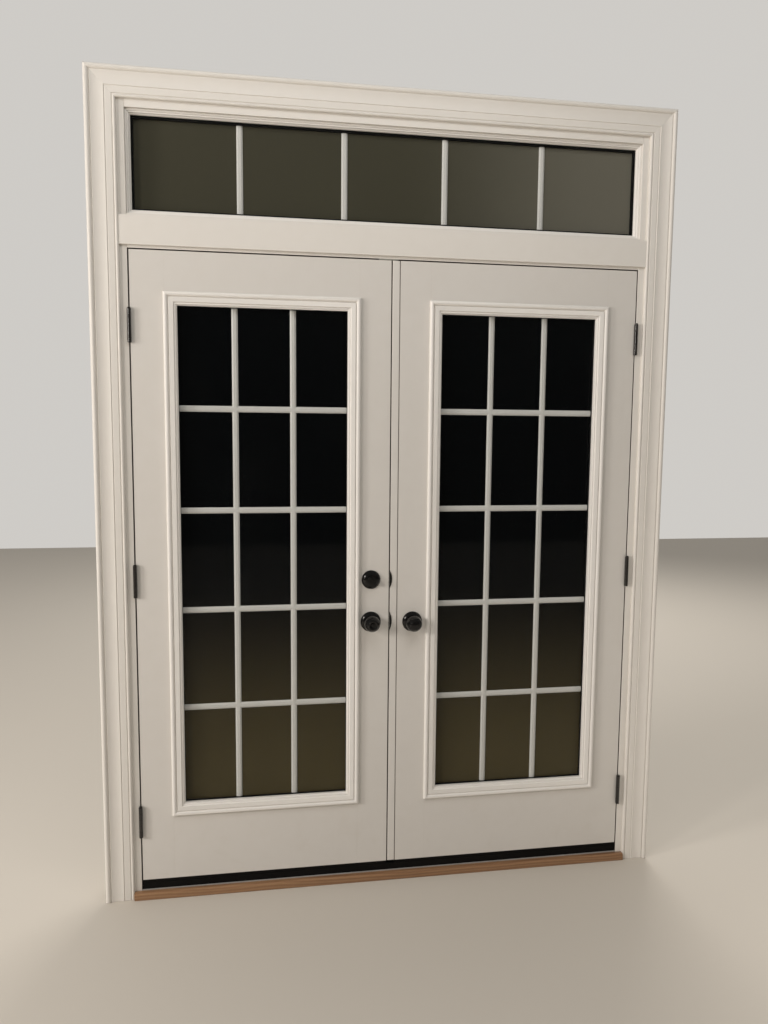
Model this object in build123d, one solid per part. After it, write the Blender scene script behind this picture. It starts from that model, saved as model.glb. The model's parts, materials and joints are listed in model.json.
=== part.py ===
from build123d import *
import math
import os

# French doors with a fixed transom, in their frame: two inswing leaves with one tall divided lite each.
# Millimetres. X runs right as seen from indoors, Y runs outdoors and Z runs up.
# The origin is the centre of the sill's underside. Each function returns its piece in place.

# Leaves
LEAF_WIDTH = 806.0
LEAF_HEIGHT = 2007.0
LEAF_THICKNESS = 44.5
LEAF_GAP = 3.0
ASTRAGAL_WIDTH = 25.0
LOCK_EDGE_BEVEL = 3.0
RUNNING_CLEARANCE = 0.3

# Lites: the moulded frame round each glass, the sealed unit and its internal grille
LITE_SIDE_MARGIN = 98.0
LITE_BOTTOM_MARGIN = 214.0
LITE_TOP_MARGIN = 121.0
LITE_FRAME_WIDTH = 41.5
LITE_FRAME_LAP = 26.0
LITE_FRAME_PROUD = 11.0
LITE_LIP = 10.5
LITE_BEAD_WIDTH = 14.0
LITE_STEP = 1.5
GLASS_UNIT_THICKNESS = 25.0
PANE_THICKNESS = 3.2
SETTING_GAP = 1.0
SPACER_WIDTH = 6.5
GRILLE_BAR_WIDTH = 19.0
GRILLE_BAR_DEPTH = 8.0
GRILLE_EDGE_DEPTH = 2.6
GRILLE_FLAT_WIDTH = 9.0
LITE_COLUMNS = 3
LITE_ROWS = 5

# Frame members
JAMB_DEPTH = 116.0
JAMB_THICKNESS = 32.0
STOP_PROJECTION = 14.0
SEAL_THICKNESS = 5.5
KERF_WIDTH = 2.4
KERF_DEPTH = 7.0
MULL_HEIGHT = 38.0
TRANSOM_HEIGHT = 304.0
TRANSOM_LITES = 5
TRANSOM_SPACER_SHOWS = 6.0
TRANSOM_STOP_SETBACK = 8.0
TRANSOM_STOP_STEP = 4.0
BAND_THICKNESS = 8.0
BAND_LOWER_REVEAL = 9.0
BAND_UPPER_REVEAL = 7.0
ARRIS = 1.5

# Interior casing and exterior brickmould
CASING_WIDTH = 89.0
CASING_THICKNESS = 18.0
CASING_REVEAL = 23.0
CASING_INNER_BEAD = 8.0
CASING_FLAT = 21.0
CASING_OUTER_BEAD = 15.0
CASING_INNER_THICKNESS = 11.0
CASING_GROOVE = 1.5
CASING_COVE_DEPTH = 2.5
BRICKMOULD_WIDTH = 50.0
BRICKMOULD_THICKNESS = 30.0
BRICKMOULD_REVEAL = 8.0
BRICKMOULD_NOSE = 14.0

# Sill
SILL_BASE_HEIGHT = 24.0
DECK_THICKNESS = 3.0
DECK_FALL = 12.0
DECK_OVERHANG = 20.0
DECK_DRIP = 9.0
CAP_HEIGHT = 22.7
CAP_SETBACK = 3.0
CAP_DEPTH = 38.0
SWEEP_HEIGHT = 10.0
SWEEP_CARRIER = 4.0
SWEEP_SETBACK = 1.5
SWEEP_DEPTH = 40.0
SWEEP_FIN = 2.5
SWEEP_FINS = 4
SWEEP_END_PAD = 20.0
SWEEP_PAD_SETBACK = 3.0
NOSING_DEPTH = 18.0

# Butt hinges
HINGE_BOTTOM_MARGIN = 200.0
HINGE_TOP_MARGIN = 227.0
HINGE_LENGTH = 102.0
HINGE_LEAF_WIDTH = 36.0
HINGE_LEAF_THICKNESS = 2.5
HINGE_BARREL_RADIUS = 6.0
HINGE_PIN_RADIUS = 3.0
HINGE_PIN_CLEARANCE = 0.05
HINGE_PIN_SETOUT = 6.5
HINGE_KNUCKLES = 5
HINGE_PIN_HEAD_RADIUS = 4.8
HINGE_PIN_HEAD = 3.5

# Knob set and deadbolt
BACKSET = 60.0
KNOB_HEIGHT = 839.0
LOCK_SPACING = 141.0
PASSIVE_KNOB_DROP = 3.5
PASSIVE_BACKSET = 52.0
CROSS_BORE_RADIUS = 27.0
EDGE_BORE_RADIUS = 12.7
ROSE_RADIUS = 33.5
ROSE_RIM = 3.0
ROSE_HEIGHT = 10.0
ROSE_LAND = 4.0
KNOB_NECK_RADIUS = 12.0
KNOB_RADIUS = 26.5
KNOB_WIDEST_AT = 37.0
KNOB_LENGTH = 60.0
KNOB_FACE_RADIUS = 14.0
KNOB_FACE_DISH = 0.8
KNOB_NECK_END = 20.0
SPINDLE_RADIUS = 5.0
SPINDLE_FIT = 0.05
BUTTON_RADIUS = 6.5
BUTTON_RECESS = 5.0
BUTTON_THICKNESS = 4.0
BUTTON_TAB = 3.0
BUTTON_TAB_LENGTH = 10.0
BUTTON_TAB_PROUD = 2.5
BUTTON_STEM_RADIUS = 2.0
DEADBOLT_ROSE_RADIUS = 31.0
DEADBOLT_ROSE_HEIGHT = 12.0
THUMB_TURN_LENGTH = 34.0
THUMB_TURN_WIDTH = 10.0
THUMB_TURN_NECK_RADIUS = 8.0
THUMB_TURN_NECK = 4.0
THUMB_TURN_PROUD = 17.0
THUMB_TURN_ANGLE = 45.0
TAILPIECE_RADIUS = 3.0
CYLINDER_RADIUS = 22.0
CYLINDER_HEIGHT = 14.0
KEYWAY_WIDTH = 1.6
KEYWAY_LENGTH = 8.5
KEYWAY_DEPTH = 6.0
FACEPLATE_HEIGHT = 57.0
FACEPLATE_WIDTH = 25.4
FACEPLATE_THICKNESS = 2.5
CASE_WALL = 0.8
CASE_REACH = 48.0
LATCH_HEIGHT = 15.0
LATCH_WIDTH = 12.0
LATCH_THROW = 12.0
LATCH_LENGTH = 42.0
LATCH_NOSE = 9.0
LATCH_NOSE_LAND = 2.0
DEADBOLT_BOLT_HEIGHT = 18.0
DEADBOLT_BOLT_WIDTH = 12.0
DEADBOLT_THROW = 25.4
DEADBOLT_LENGTH = 44.0
BOLT_SETBACK = 0.5

# Strikes on the astragal
STRIKE_THICKNESS = 1.6
STRIKE_DEPTH = 36.0
STRIKE_LIP = 7.5
LATCH_STRIKE_HEIGHT = 61.0
DEADBOLT_STRIKE_HEIGHT = 57.0
POCKET_CLEARANCE = 3.0
POCKET_FLOOR = 2.0

# Flush bolts in the astragal, and its seal
FLUSH_BOLT_WIDTH = 7.4
FLUSH_BOLT_THICKNESS = 3.2
FLUSH_BOLT_LENGTH = 190.0
FLUSH_BOLT_THROW = 20.0
FLUSH_BOLT_END_GAP = 1.0
FLUSH_BOLT_LUG = 30.0
FLUSH_BOLT_LUG_INSET = 10.0
CHANNEL_LIP = 3.0
CHANNEL_MOUTH = 3.8
CHANNEL_MOUTH_SPARE = 2.0
SOCKET_CLEARANCE = 2.0
SOCKET_SPARE = 3.0
BULB_SEAL_AT = 7.0
BULB_SEAL_GROOVE = 4.0
BULB_SEAL_WIDTH = 4.0

# Places along X
HALF_OPENING = (2 * LEAF_WIDTH + 3 * LEAF_GAP + ASTRAGAL_WIDTH) / 2
ACTIVE_EDGE = -HALF_OPENING + LEAF_GAP + LEAF_WIDTH
ASTRAGAL_FACE = ACTIVE_EDGE + LEAF_GAP
PASSIVE_EDGE = ASTRAGAL_FACE + ASTRAGAL_WIDTH
HALF_STOPS = HALF_OPENING - STOP_PROJECTION
HALF_FRAME = HALF_OPENING + JAMB_THICKNESS
HALF_CASING = HALF_OPENING + CASING_REVEAL
HINGE_PIN_X = HALF_OPENING - LEAF_GAP / 2
LEAF_CENTRE = HALF_OPENING - LEAF_GAP - LEAF_WIDTH / 2
KNOB_X = ACTIVE_EDGE - BACKSET
DUMMY_KNOB_X = PASSIVE_EDGE + PASSIVE_BACKSET

# Places along Y
INDOOR = -JAMB_DEPTH / 2
OUTDOOR = JAMB_DEPTH / 2
LEAF_OUTDOOR = INDOOR + LEAF_THICKNESS
LEAF_MIDDLE = INDOOR + LEAF_THICKNESS / 2
STOP_FACE = LEAF_OUTDOOR + SEAL_THICKNESS
HINGE_PIN_Y = INDOOR - HINGE_PIN_SETOUT
TRANSOM_GLASS_INDOOR = STOP_FACE - GLASS_UNIT_THICKNESS

# Places along Z
DECK_TOP = SILL_BASE_HEIGHT + DECK_THICKNESS
CAP_TOP = DECK_TOP + CAP_HEIGHT
LEAF_BOTTOM = CAP_TOP + RUNNING_CLEARANCE + SWEEP_HEIGHT
LEAF_TOP = LEAF_BOTTOM + LEAF_HEIGHT
HEAD_UNDERSIDE = LEAF_TOP + LEAF_GAP
MULL_BOTTOM = HEAD_UNDERSIDE + JAMB_THICKNESS
MULL_TOP = MULL_BOTTOM + MULL_HEIGHT
TRANSOM_BOTTOM = MULL_TOP + JAMB_THICKNESS
TRANSOM_TOP = TRANSOM_BOTTOM + TRANSOM_HEIGHT
FRAME_TOP = TRANSOM_TOP + JAMB_THICKNESS
CASING_TOP_INNER = TRANSOM_TOP + CASING_REVEAL
KNOB_Z = LEAF_BOTTOM + KNOB_HEIGHT
DEADBOLT_Z = KNOB_Z + LOCK_SPACING

MIRROR_X = Plane.YZ
MIRROR_LEAF = Plane(origin=(0, LEAF_MIDDLE, 0), z_dir=(0, 1, 0))
MIRROR_HEIGHT = Plane(origin=(0, 0, (LEAF_TOP + LEAF_BOTTOM) / 2), z_dir=(0, 0, 1))


def block(x, y, z):
    """A box between two places along each axis."""
    low = Vector(min(x), min(y), min(z))
    high = Vector(max(x), max(y), max(z))
    middle = (low + high) * 0.5
    size = high - low
    return Location(middle) * Box(size.X, size.Y, size.Z)


def rod(start, end, radius):
    """A round bar from one point to another."""
    axis = Vector(*end) - Vector(*start)
    return extrude(Plane(origin=start, z_dir=axis) * Circle(radius), axis.length)


def along_x(section, x):
    """A section of (Y, Z) points run along X."""
    plane = Plane(origin=(min(x), 0, 0), x_dir=(0, 1, 0), z_dir=(1, 0, 0))
    return extrude(plane * make_face(Polyline(*section, close=True)), max(x) - min(x))


def along_z(section, z):
    """A section of (X, Y) points run along Z."""
    plane = Plane(origin=(0, 0, min(z)))
    return extrude(plane * make_face(Polyline(*section, close=True)), max(z) - min(z))


def frame_ring(section, x, y, z):
    """A mitred rectangular frame. The section is a face of (inward, towards indoors), on the plane at y."""
    middle = (x[0] + x[1]) / 2
    plane = Plane(origin=(middle, y, z[0]), x_dir=(0, 0, 1), z_dir=(1, 0, 0))
    path = Polyline(
        (middle, y, z[0]),
        (x[1], y, z[0]),
        (x[1], y, z[1]),
        (x[0], y, z[1]),
        (x[0], y, z[0]),
        close=True,
    )
    return sweep(plane * section, path=path, transition=Transition.RIGHT)


def surround(section, half_width, top, width):
    """Mitred left and head trims on the plane Y = 0, with the section's face of (outward, towards indoors)."""
    leg_plane = Plane(origin=(-half_width, 0, 0), x_dir=(-1, 0, 0), z_dir=(0, 0, 1))
    head_plane = Plane(origin=(-half_width - width, 0, top), x_dir=(0, 0, 1), z_dir=(1, 0, 0))
    leg = extrude(leg_plane * section, top + width)
    head = extrude(head_plane * section, 2 * (half_width + width))
    left_mitre = Plane(origin=(-half_width, 0, top), z_dir=(1, 0, 1))
    right_mitre = Plane(origin=(half_width, 0, top), z_dir=(-1, 0, 1))
    leg = split(leg, bisect_by=left_mitre, keep=Keep.BOTTOM)
    head = split(head, bisect_by=left_mitre, keep=Keep.TOP)
    head = split(head, bisect_by=right_mitre, keep=Keep.TOP)
    return leg, head


def turned(profile, x, z):
    """A piece turned about an axis along Y, from (radius, distance indoors of the leaf) edges."""
    plane = Plane(origin=(x, INDOOR, z), x_dir=(1, 0, 0), z_dir=(0, 0, -1))
    return revolve(plane * make_face(profile), axis=Axis((x, INDOOR, z), (0, 1, 0)))


def chain(*points):
    """Straight edges through the points, as a list."""
    return [Line(a, b) for a, b in zip(points, points[1:])]


# Casing and brickmould


def casing_section():
    """A colonial casing: inner bead, flat, rising cove and outer bead."""
    groove = CASING_GROOVE
    inner = CASING_INNER_THICKNESS
    outer = CASING_THICKNESS
    flat_end = CASING_INNER_BEAD + CASING_FLAT
    bead_start = CASING_WIDTH - CASING_OUTER_BEAD
    bead_spring = inner - CASING_INNER_BEAD / 2
    cove_start = (flat_end + 2 * groove, inner + groove / 2)
    cove_end = (bead_start - 2 * groove, outer - 2 * groove)
    cove_middle = (
        (cove_start[0] + cove_end[0]) / 2,
        (cove_start[1] + cove_end[1]) / 2 - CASING_COVE_DEPTH,
    )
    outer_bead_start = (bead_start, outer - 2.4 * groove)
    outer_bead_end = (CASING_WIDTH, outer - 2.8 * groove)
    edges = chain((0, 0), (0, bead_spring))
    edges.append(
        ThreePointArc((0, bead_spring), (CASING_INNER_BEAD / 2, inner), (CASING_INNER_BEAD, inner - groove / 2))
    )
    edges += chain(
        (CASING_INNER_BEAD, inner - groove / 2),
        (CASING_INNER_BEAD + groove, inner - 2 * groove),
        (CASING_INNER_BEAD + 2 * groove, inner - groove / 2),
        (flat_end, inner),
        (flat_end + groove, inner - groove),
        cove_start,
    )
    edges.append(ThreePointArc(cove_start, cove_middle, cove_end))
    edges += chain(cove_end, (bead_start - groove, outer - 4 * groove), outer_bead_start)
    edges.append(
        ThreePointArc(outer_bead_start, (bead_start + CASING_OUTER_BEAD / 2, outer), outer_bead_end)
    )
    edges += chain(outer_bead_end, (CASING_WIDTH, 0), (0, 0))
    return make_face(edges)


def casings():
    """The interior casing's left, right and head pieces."""
    leg, head = surround(casing_section(), HALF_CASING, CASING_TOP_INNER, CASING_WIDTH)
    left = Pos(0, INDOOR, 0) * leg
    return {
        "casing_left": left,
        "casing_right": mirror(left, about=MIRROR_X),
        "casing_head": Pos(0, INDOOR, 0) * head,
    }


def brickmould_section():
    """A brickmould: thin towards the opening, a quarter-round step and a thick outer flat."""
    start = BRICKMOULD_WIDTH - 2 * BRICKMOULD_NOSE
    thin = BRICKMOULD_THICKNESS - BRICKMOULD_NOSE
    bend = BRICKMOULD_NOSE * math.sin(math.radians(45))
    edges = chain((0, 0), (0, thin), (start, thin))
    edges += [
        ThreePointArc(
            (start, thin),
            (start + BRICKMOULD_NOSE - bend, thin + bend),
            (start + BRICKMOULD_NOSE, BRICKMOULD_THICKNESS),
        )
    ]
    edges += chain(
        (start + BRICKMOULD_NOSE, BRICKMOULD_THICKNESS),
        (BRICKMOULD_WIDTH, BRICKMOULD_THICKNESS),
        (BRICKMOULD_WIDTH, 0),
        (0, 0),
    )
    return make_face(edges)


def brickmoulds():
    """The exterior trim's left, right and head pieces."""
    half_width = HALF_STOPS + BRICKMOULD_REVEAL
    top = TRANSOM_TOP - STOP_PROJECTION + BRICKMOULD_REVEAL
    leg, head = surround(brickmould_section(), half_width, top, BRICKMOULD_WIDTH)
    leg, head = (Pos(0, OUTDOOR, 0) * mirror(piece, about=Plane.XZ) for piece in (leg, head))
    return {
        "brickmould_left": leg,
        "brickmould_right": mirror(leg, about=MIRROR_X),
        "brickmould_head": head,
    }


# Frame members


def sill_envelope(x):
    """The room that the sill's base and deck take, from the floor up to the deck's top."""
    section = [
        (INDOOR, 0),
        (INDOOR, DECK_TOP),
        (STOP_FACE, DECK_TOP),
        (OUTDOOR + DECK_OVERHANG, DECK_TOP - DECK_FALL),
        (OUTDOOR + DECK_OVERHANG, 0),
    ]
    return along_x(section, x)


def hinge_mortises(x):
    """The recesses for one side's three hinge leaves, open to the indoor face. x runs from the face inwards."""
    return [
        block(x, (INDOOR - 1, INDOOR + HINGE_LEAF_WIDTH), (bottom, bottom + HINGE_LENGTH))
        for bottom in hinge_bottoms()
    ]


def hinge_bottoms():
    """The heights of the three hinges' lower ends above the floor."""
    lowest = LEAF_BOTTOM + HINGE_BOTTOM_MARGIN
    highest = LEAF_TOP - HINGE_TOP_MARGIN
    return [centre - HINGE_LENGTH / 2 for centre in (lowest, (lowest + highest) / 2, highest)]


def jamb_left():
    """The left jamb: rabbet, integral stop, seal kerf and hinge mortises, coped over the sill's deck."""
    section = [
        (-HALF_FRAME, INDOOR),
        (-HALF_OPENING - ARRIS, INDOOR),
        (-HALF_OPENING, INDOOR + ARRIS),
        (-HALF_OPENING, STOP_FACE),
        (-HALF_STOPS, STOP_FACE),
        (-HALF_STOPS, OUTDOOR),
        (-HALF_FRAME, OUTDOOR),
    ]
    jamb = along_z(section, (0, FRAME_TOP))
    jamb -= sill_envelope((-HALF_OPENING, -HALF_STOPS + 1))
    jamb -= block(
        seal_kerf_x(),
        (STOP_FACE, STOP_FACE + KERF_DEPTH),
        (DECK_TOP - 1, HEAD_UNDERSIDE + KERF_DEPTH),
    )
    jamb -= hinge_mortises((-HALF_OPENING - HINGE_LEAF_THICKNESS, -HALF_OPENING + 1))
    return jamb


def seal_kerf_x():
    """The left jamb's kerf, from side to side."""
    middle = HALF_OPENING - STOP_PROJECTION / 3
    return (-middle - KERF_WIDTH / 2, -middle + KERF_WIDTH / 2)


def head_member(underside, upwards):
    """A rabbeted member across the frame, with its stop on the underside, or on top where it is a sill."""
    sign = 1 if upwards else -1
    back = underside + sign * JAMB_THICKNESS
    wide = block(
        (-HALF_OPENING, HALF_OPENING), (INDOOR, STOP_FACE), (underside, back)
    )
    narrow = block(
        (-HALF_STOPS, HALF_STOPS), (STOP_FACE, OUTDOOR), (underside - sign * STOP_PROJECTION, back)
    )
    return wide + narrow


def door_head_jamb():
    """The board over the leaves, with the top bolt's socket. Its stop is a separate moulding."""
    z = (HEAD_UNDERSIDE, HEAD_UNDERSIDE + JAMB_THICKNESS)
    head = block((-HALF_OPENING, HALF_OPENING), (INDOOR, STOP_FACE), z)
    head += block((-HALF_STOPS, HALF_STOPS), (STOP_FACE, OUTDOOR), z)
    reach = FLUSH_BOLT_THROW - FLUSH_BOLT_END_GAP - LEAF_GAP + SOCKET_SPARE
    return head - bolt_socket((HEAD_UNDERSIDE - 1, HEAD_UNDERSIDE + reach))


def door_head_stop():
    """The stop under the head board, outdoors of the leaves, with its seal kerf."""
    middle = HEAD_UNDERSIDE - STOP_PROJECTION / 3
    stop = block(
        (-HALF_STOPS, HALF_STOPS), (STOP_FACE, OUTDOOR), (HEAD_UNDERSIDE - STOP_PROJECTION, HEAD_UNDERSIDE)
    )
    return stop - block(
        (-HALF_STOPS, HALF_STOPS),
        (STOP_FACE - 1, STOP_FACE + KERF_DEPTH),
        (middle - KERF_WIDTH / 2, middle + KERF_WIDTH / 2),
    )


def mull_filler():
    """The stud between the door's head and the transom's sill."""
    wide = block((-HALF_OPENING, HALF_OPENING), (INDOOR, STOP_FACE), (MULL_BOTTOM, MULL_TOP))
    narrow = block((-HALF_STOPS, HALF_STOPS), (STOP_FACE, OUTDOOR), (MULL_BOTTOM, MULL_TOP))
    return wide + narrow


def transom_band():
    """The flat board that covers the mull indoors, with its long edges eased."""
    board = block(
        (-HALF_CASING, HALF_CASING),
        (INDOOR - BAND_THICKNESS, INDOOR),
        (HEAD_UNDERSIDE + BAND_LOWER_REVEAL, TRANSOM_BOTTOM - BAND_UPPER_REVEAL),
    )
    front = board.edges().filter_by(Axis.X).group_by(Axis.Y)[0]
    return fillet(front, ARRIS)


def transom_stop_section():
    """The stepped stop that holds the transom's glass: (from the jamb, indoors of the glass)."""
    height = TRANSOM_GLASS_INDOOR - INDOOR - TRANSOM_STOP_SETBACK
    step = TRANSOM_STOP_STEP
    slope = step / 5
    first = STOP_PROJECTION * 0.36
    second = STOP_PROJECTION * 0.7
    points = [
        (0, 0),
        (0, height - slope),
        (slope, height),
        (first, height),
        (first + slope, height - step),
        (second, height - step),
        (second + slope, height - 2 * step),
        (STOP_PROJECTION, height / 3),
        (STOP_PROJECTION, 0),
    ]
    return make_face(Polyline(*points, close=True))


def transom_stop():
    """The interior glazing stop, mitred round the transom."""
    return frame_ring(
        transom_stop_section(),
        (-HALF_OPENING, HALF_OPENING),
        TRANSOM_GLASS_INDOOR,
        (TRANSOM_BOTTOM, TRANSOM_TOP),
    )


def weatherstrips():
    """The kerf-in seals against the stops: a bulb beside each leaf and a barb in its kerf."""
    bulb_y = (LEAF_OUTDOOR + RUNNING_CLEARANCE, STOP_FACE)
    barb_y = (STOP_FACE, STOP_FACE + KERF_DEPTH - 1)
    slack = 0.2
    kerf = seal_kerf_x()
    leg_z = (DECK_TOP, HEAD_UNDERSIDE)
    left = block((-HALF_OPENING, -HALF_STOPS), bulb_y, leg_z)
    left += block((kerf[0] + slack, kerf[1] - slack), barb_y, leg_z)
    kerf_z = HEAD_UNDERSIDE - STOP_PROJECTION / 3
    head = block((-HALF_STOPS, HALF_STOPS), bulb_y, (HEAD_UNDERSIDE - STOP_PROJECTION, HEAD_UNDERSIDE))
    head += block(
        (-HALF_STOPS, HALF_STOPS),
        barb_y,
        (kerf_z - KERF_WIDTH / 2 + slack, kerf_z + KERF_WIDTH / 2 - slack),
    )
    return Compound([left.solid(), mirror(left, about=MIRROR_X).solid(), head.solid()])


# Sealed glass units


def panes(x, y, z):
    """The two panes of a sealed unit that fills the ranges."""
    inner = block(x, (y[0], y[0] + PANE_THICKNESS), z)
    outer = block(x, (y[1] - PANE_THICKNESS, y[1]), z)
    return Compound([inner.solid(), outer.solid()])


def spacer(x, y, z, inset):
    """The black spacer between the panes, round the unit's edge."""
    between = shrunk(y, PANE_THICKNESS)
    inner = inset + SPACER_WIDTH
    return block(shrunk(x, inset), between, shrunk(z, inset)) - block(shrunk(x, inner), y, shrunk(z, inner))


def grille(x, y, z, across, up):
    """The contoured bars between the panes. The ranges are the spacer's inner faces."""
    middle = (y[0] + y[1]) / 2
    half_width = GRILLE_BAR_WIDTH / 2
    half_flat = GRILLE_FLAT_WIDTH / 2
    half_depth = GRILLE_BAR_DEPTH / 2
    half_edge = GRILLE_EDGE_DEPTH / 2
    outline = [
        (-half_width, -half_edge),
        (-half_flat, -half_depth),
        (half_flat, -half_depth),
        (half_width, -half_edge),
        (half_width, half_edge),
        (half_flat, half_depth),
        (-half_flat, half_depth),
        (-half_width, half_edge),
    ]
    bars = []
    for place in bar_places(x, across):
        bars.append(along_z([(place + a, middle + b) for a, b in outline], z))
    for place in bar_places(z, up):
        bars.append(along_x([(middle + b, place + a) for a, b in outline], x))
    if not bars:
        raise ValueError("a grille needs at least two lites")
    lattice = bars[0]
    for bar in bars[1:]:
        lattice = lattice + bar
    solids = lattice.solids()
    return solids[0] if len(solids) == 1 else Compound(solids)


def bar_places(span, lites):
    """The bars' centres, which share the span out in equal lites."""
    lite = (span[1] - span[0] - (lites - 1) * GRILLE_BAR_WIDTH) / lites
    return [span[0] + (i + 1) * lite + (i + 0.5) * GRILLE_BAR_WIDTH for i in range(lites - 1)]


def shrunk(span, by):
    """A range drawn in at both ends."""
    return (span[0] + by, span[1] - by)


def transom_glass():
    """The transom's panes, spacer and grille."""
    x = shrunk((-HALF_OPENING, HALF_OPENING), SETTING_GAP)
    y = (TRANSOM_GLASS_INDOOR, STOP_FACE)
    z = (TRANSOM_BOTTOM + SETTING_GAP, TRANSOM_TOP - SETTING_GAP)
    inset = STOP_PROJECTION - SETTING_GAP + TRANSOM_SPACER_SHOWS - SPACER_WIDTH
    clear = inset + SPACER_WIDTH
    return {
        "transom_panes": panes(x, y, z),
        "transom_spacer": spacer(x, y, z, inset),
        "transom_grille": grille(shrunk(x, clear), y, shrunk(z, clear), TRANSOM_LITES, 1),
    }


# Leaves


def lite_x():
    """The left leaf's lite frame, from its outer edge to its outer edge."""
    return (-LEAF_CENTRE - LEAF_WIDTH / 2 + LITE_SIDE_MARGIN, -LEAF_CENTRE + LEAF_WIDTH / 2 - LITE_SIDE_MARGIN)


def lite_z():
    """The lite frame's lower and upper outer edges."""
    return (LEAF_BOTTOM + LITE_BOTTOM_MARGIN, LEAF_TOP - LITE_TOP_MARGIN)


def lite_frame_section():
    """Half a moulded lite frame: (inward, proud of the leaf). Its leg reaches the leaf's middle."""
    proud = LITE_FRAME_PROUD
    sight = LITE_FRAME_WIDTH
    bead = LITE_BEAD_WIDTH
    step = LITE_STEP
    glass = -(LEAF_THICKNESS - GLASS_UNIT_THICKNESS) / 2
    leg = LITE_FRAME_LAP + SETTING_GAP
    glass_edge = sight - LITE_LIP - SETTING_GAP
    bead_start = (0, proud * 0.35)
    bead_end = (bead, proud * 0.6)
    edges = chain((0, 0), bead_start)
    edges.append(ThreePointArc(bead_start, (bead / 2, proud), bead_end))
    edges += chain(
        bead_end,
        (bead + step, proud * 0.45),
        (bead + 2 * step, proud * 0.74),
        (sight - LITE_LIP, proud * 0.6),
        (sight - LITE_LIP + step, proud * 0.38),
        (sight - 3.6 * step, proud * 0.36),
        (sight - 2.6 * step, proud * 0.15),
        (sight, 0),
        (sight, glass),
        (glass_edge, glass),
        (glass_edge, -LEAF_THICKNESS / 2),
        (leg, -LEAF_THICKNESS / 2),
        (leg, 0),
        (0, 0),
    )
    return make_face(edges)


def lite_parts():
    """The left leaf's lite frame halves and sealed unit."""
    indoor = frame_ring(lite_frame_section(), lite_x(), INDOOR, lite_z())
    edge = LITE_FRAME_WIDTH - LITE_LIP
    x = shrunk(lite_x(), edge)
    z = shrunk(lite_z(), edge)
    y = (LEAF_MIDDLE - GLASS_UNIT_THICKNESS / 2, LEAF_MIDDLE + GLASS_UNIT_THICKNESS / 2)
    inset = LITE_LIP - SPACER_WIDTH + SETTING_GAP / 2
    clear = inset + SPACER_WIDTH
    return {
        "lite_frame_indoor": indoor,
        "lite_frame_outdoor": mirror(indoor, about=MIRROR_LEAF),
        "panes": panes(x, y, z),
        "spacer": spacer(x, y, z, inset),
        "grille": grille(shrunk(x, clear), y, shrunk(z, clear), LITE_COLUMNS, LITE_ROWS),
    }


def slab(lock_edge, bevel):
    """The left leaf's slab, with its lite cut out and its hinge edge mortised."""
    hinge_edge = -HALF_OPENING + LEAF_GAP
    drawn_back = LEAF_THICKNESS * math.tan(math.radians(bevel))
    section = [
        (hinge_edge, INDOOR),
        (lock_edge, INDOOR),
        (lock_edge - drawn_back, LEAF_OUTDOOR),
        (hinge_edge, LEAF_OUTDOOR),
    ]
    leaf = along_z(section, (LEAF_BOTTOM, LEAF_TOP))
    leaf -= block(
        shrunk(lite_x(), LITE_FRAME_LAP),
        (INDOOR - 1, LEAF_OUTDOOR + 1),
        shrunk(lite_z(), LITE_FRAME_LAP),
    )
    leaf -= hinge_mortises((hinge_edge - 1, hinge_edge + HINGE_LEAF_THICKNESS))
    return leaf


def sweep_strip(x):
    """The vinyl sweep under a leaf: a carrier, its fins, and the pad that closes its meeting end."""
    y = sweep_y()
    strip = block(x, y, (LEAF_BOTTOM - SWEEP_CARRIER, LEAF_BOTTOM))
    pitch = (SWEEP_DEPTH - SWEEP_FIN) / (SWEEP_FINS - 1)
    for i in range(SWEEP_FINS):
        start = y[0] + i * pitch
        strip += block(x, (start, start + SWEEP_FIN), (LEAF_BOTTOM - SWEEP_HEIGHT, LEAF_BOTTOM))
    end = min(x, key=abs)
    pad_x = (end, end + math.copysign(SWEEP_END_PAD, end))
    return strip + block(pad_x, y, (LEAF_BOTTOM - SWEEP_HEIGHT, LEAF_BOTTOM))


def sweep_y():
    """The sweep's indoor and outdoor sides."""
    return (INDOOR + SWEEP_SETBACK, INDOOR + SWEEP_SETBACK + SWEEP_DEPTH)


def passive_sweep():
    """The passive leaf's sweep, and the pad that carries it on under the astragal behind the lower bolt."""
    strip = sweep_strip((PASSIVE_EDGE, HALF_OPENING - LEAF_GAP))
    pad = block(
        (ASTRAGAL_FACE, PASSIVE_EDGE),
        (LEAF_MIDDLE + FLUSH_BOLT_WIDTH / 2 + SWEEP_PAD_SETBACK, sweep_y()[1]),
        (LEAF_BOTTOM - SWEEP_HEIGHT, LEAF_BOTTOM),
    )
    return Compound([strip.solid(), pad.solid()])


# Sill


def sill_base():
    """The threshold's substrate, under the deck."""
    slope = DECK_FALL / (OUTDOOR + DECK_OVERHANG - STOP_FACE)
    back = OUTDOOR - DECK_THICKNESS
    section = [
        (INDOOR, 0),
        (INDOOR, SILL_BASE_HEIGHT),
        (STOP_FACE, SILL_BASE_HEIGHT),
        (back, SILL_BASE_HEIGHT - slope * (back - STOP_FACE)),
        (back, 0),
    ]
    return along_x(section, (-HALF_OPENING, HALF_OPENING))


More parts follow.
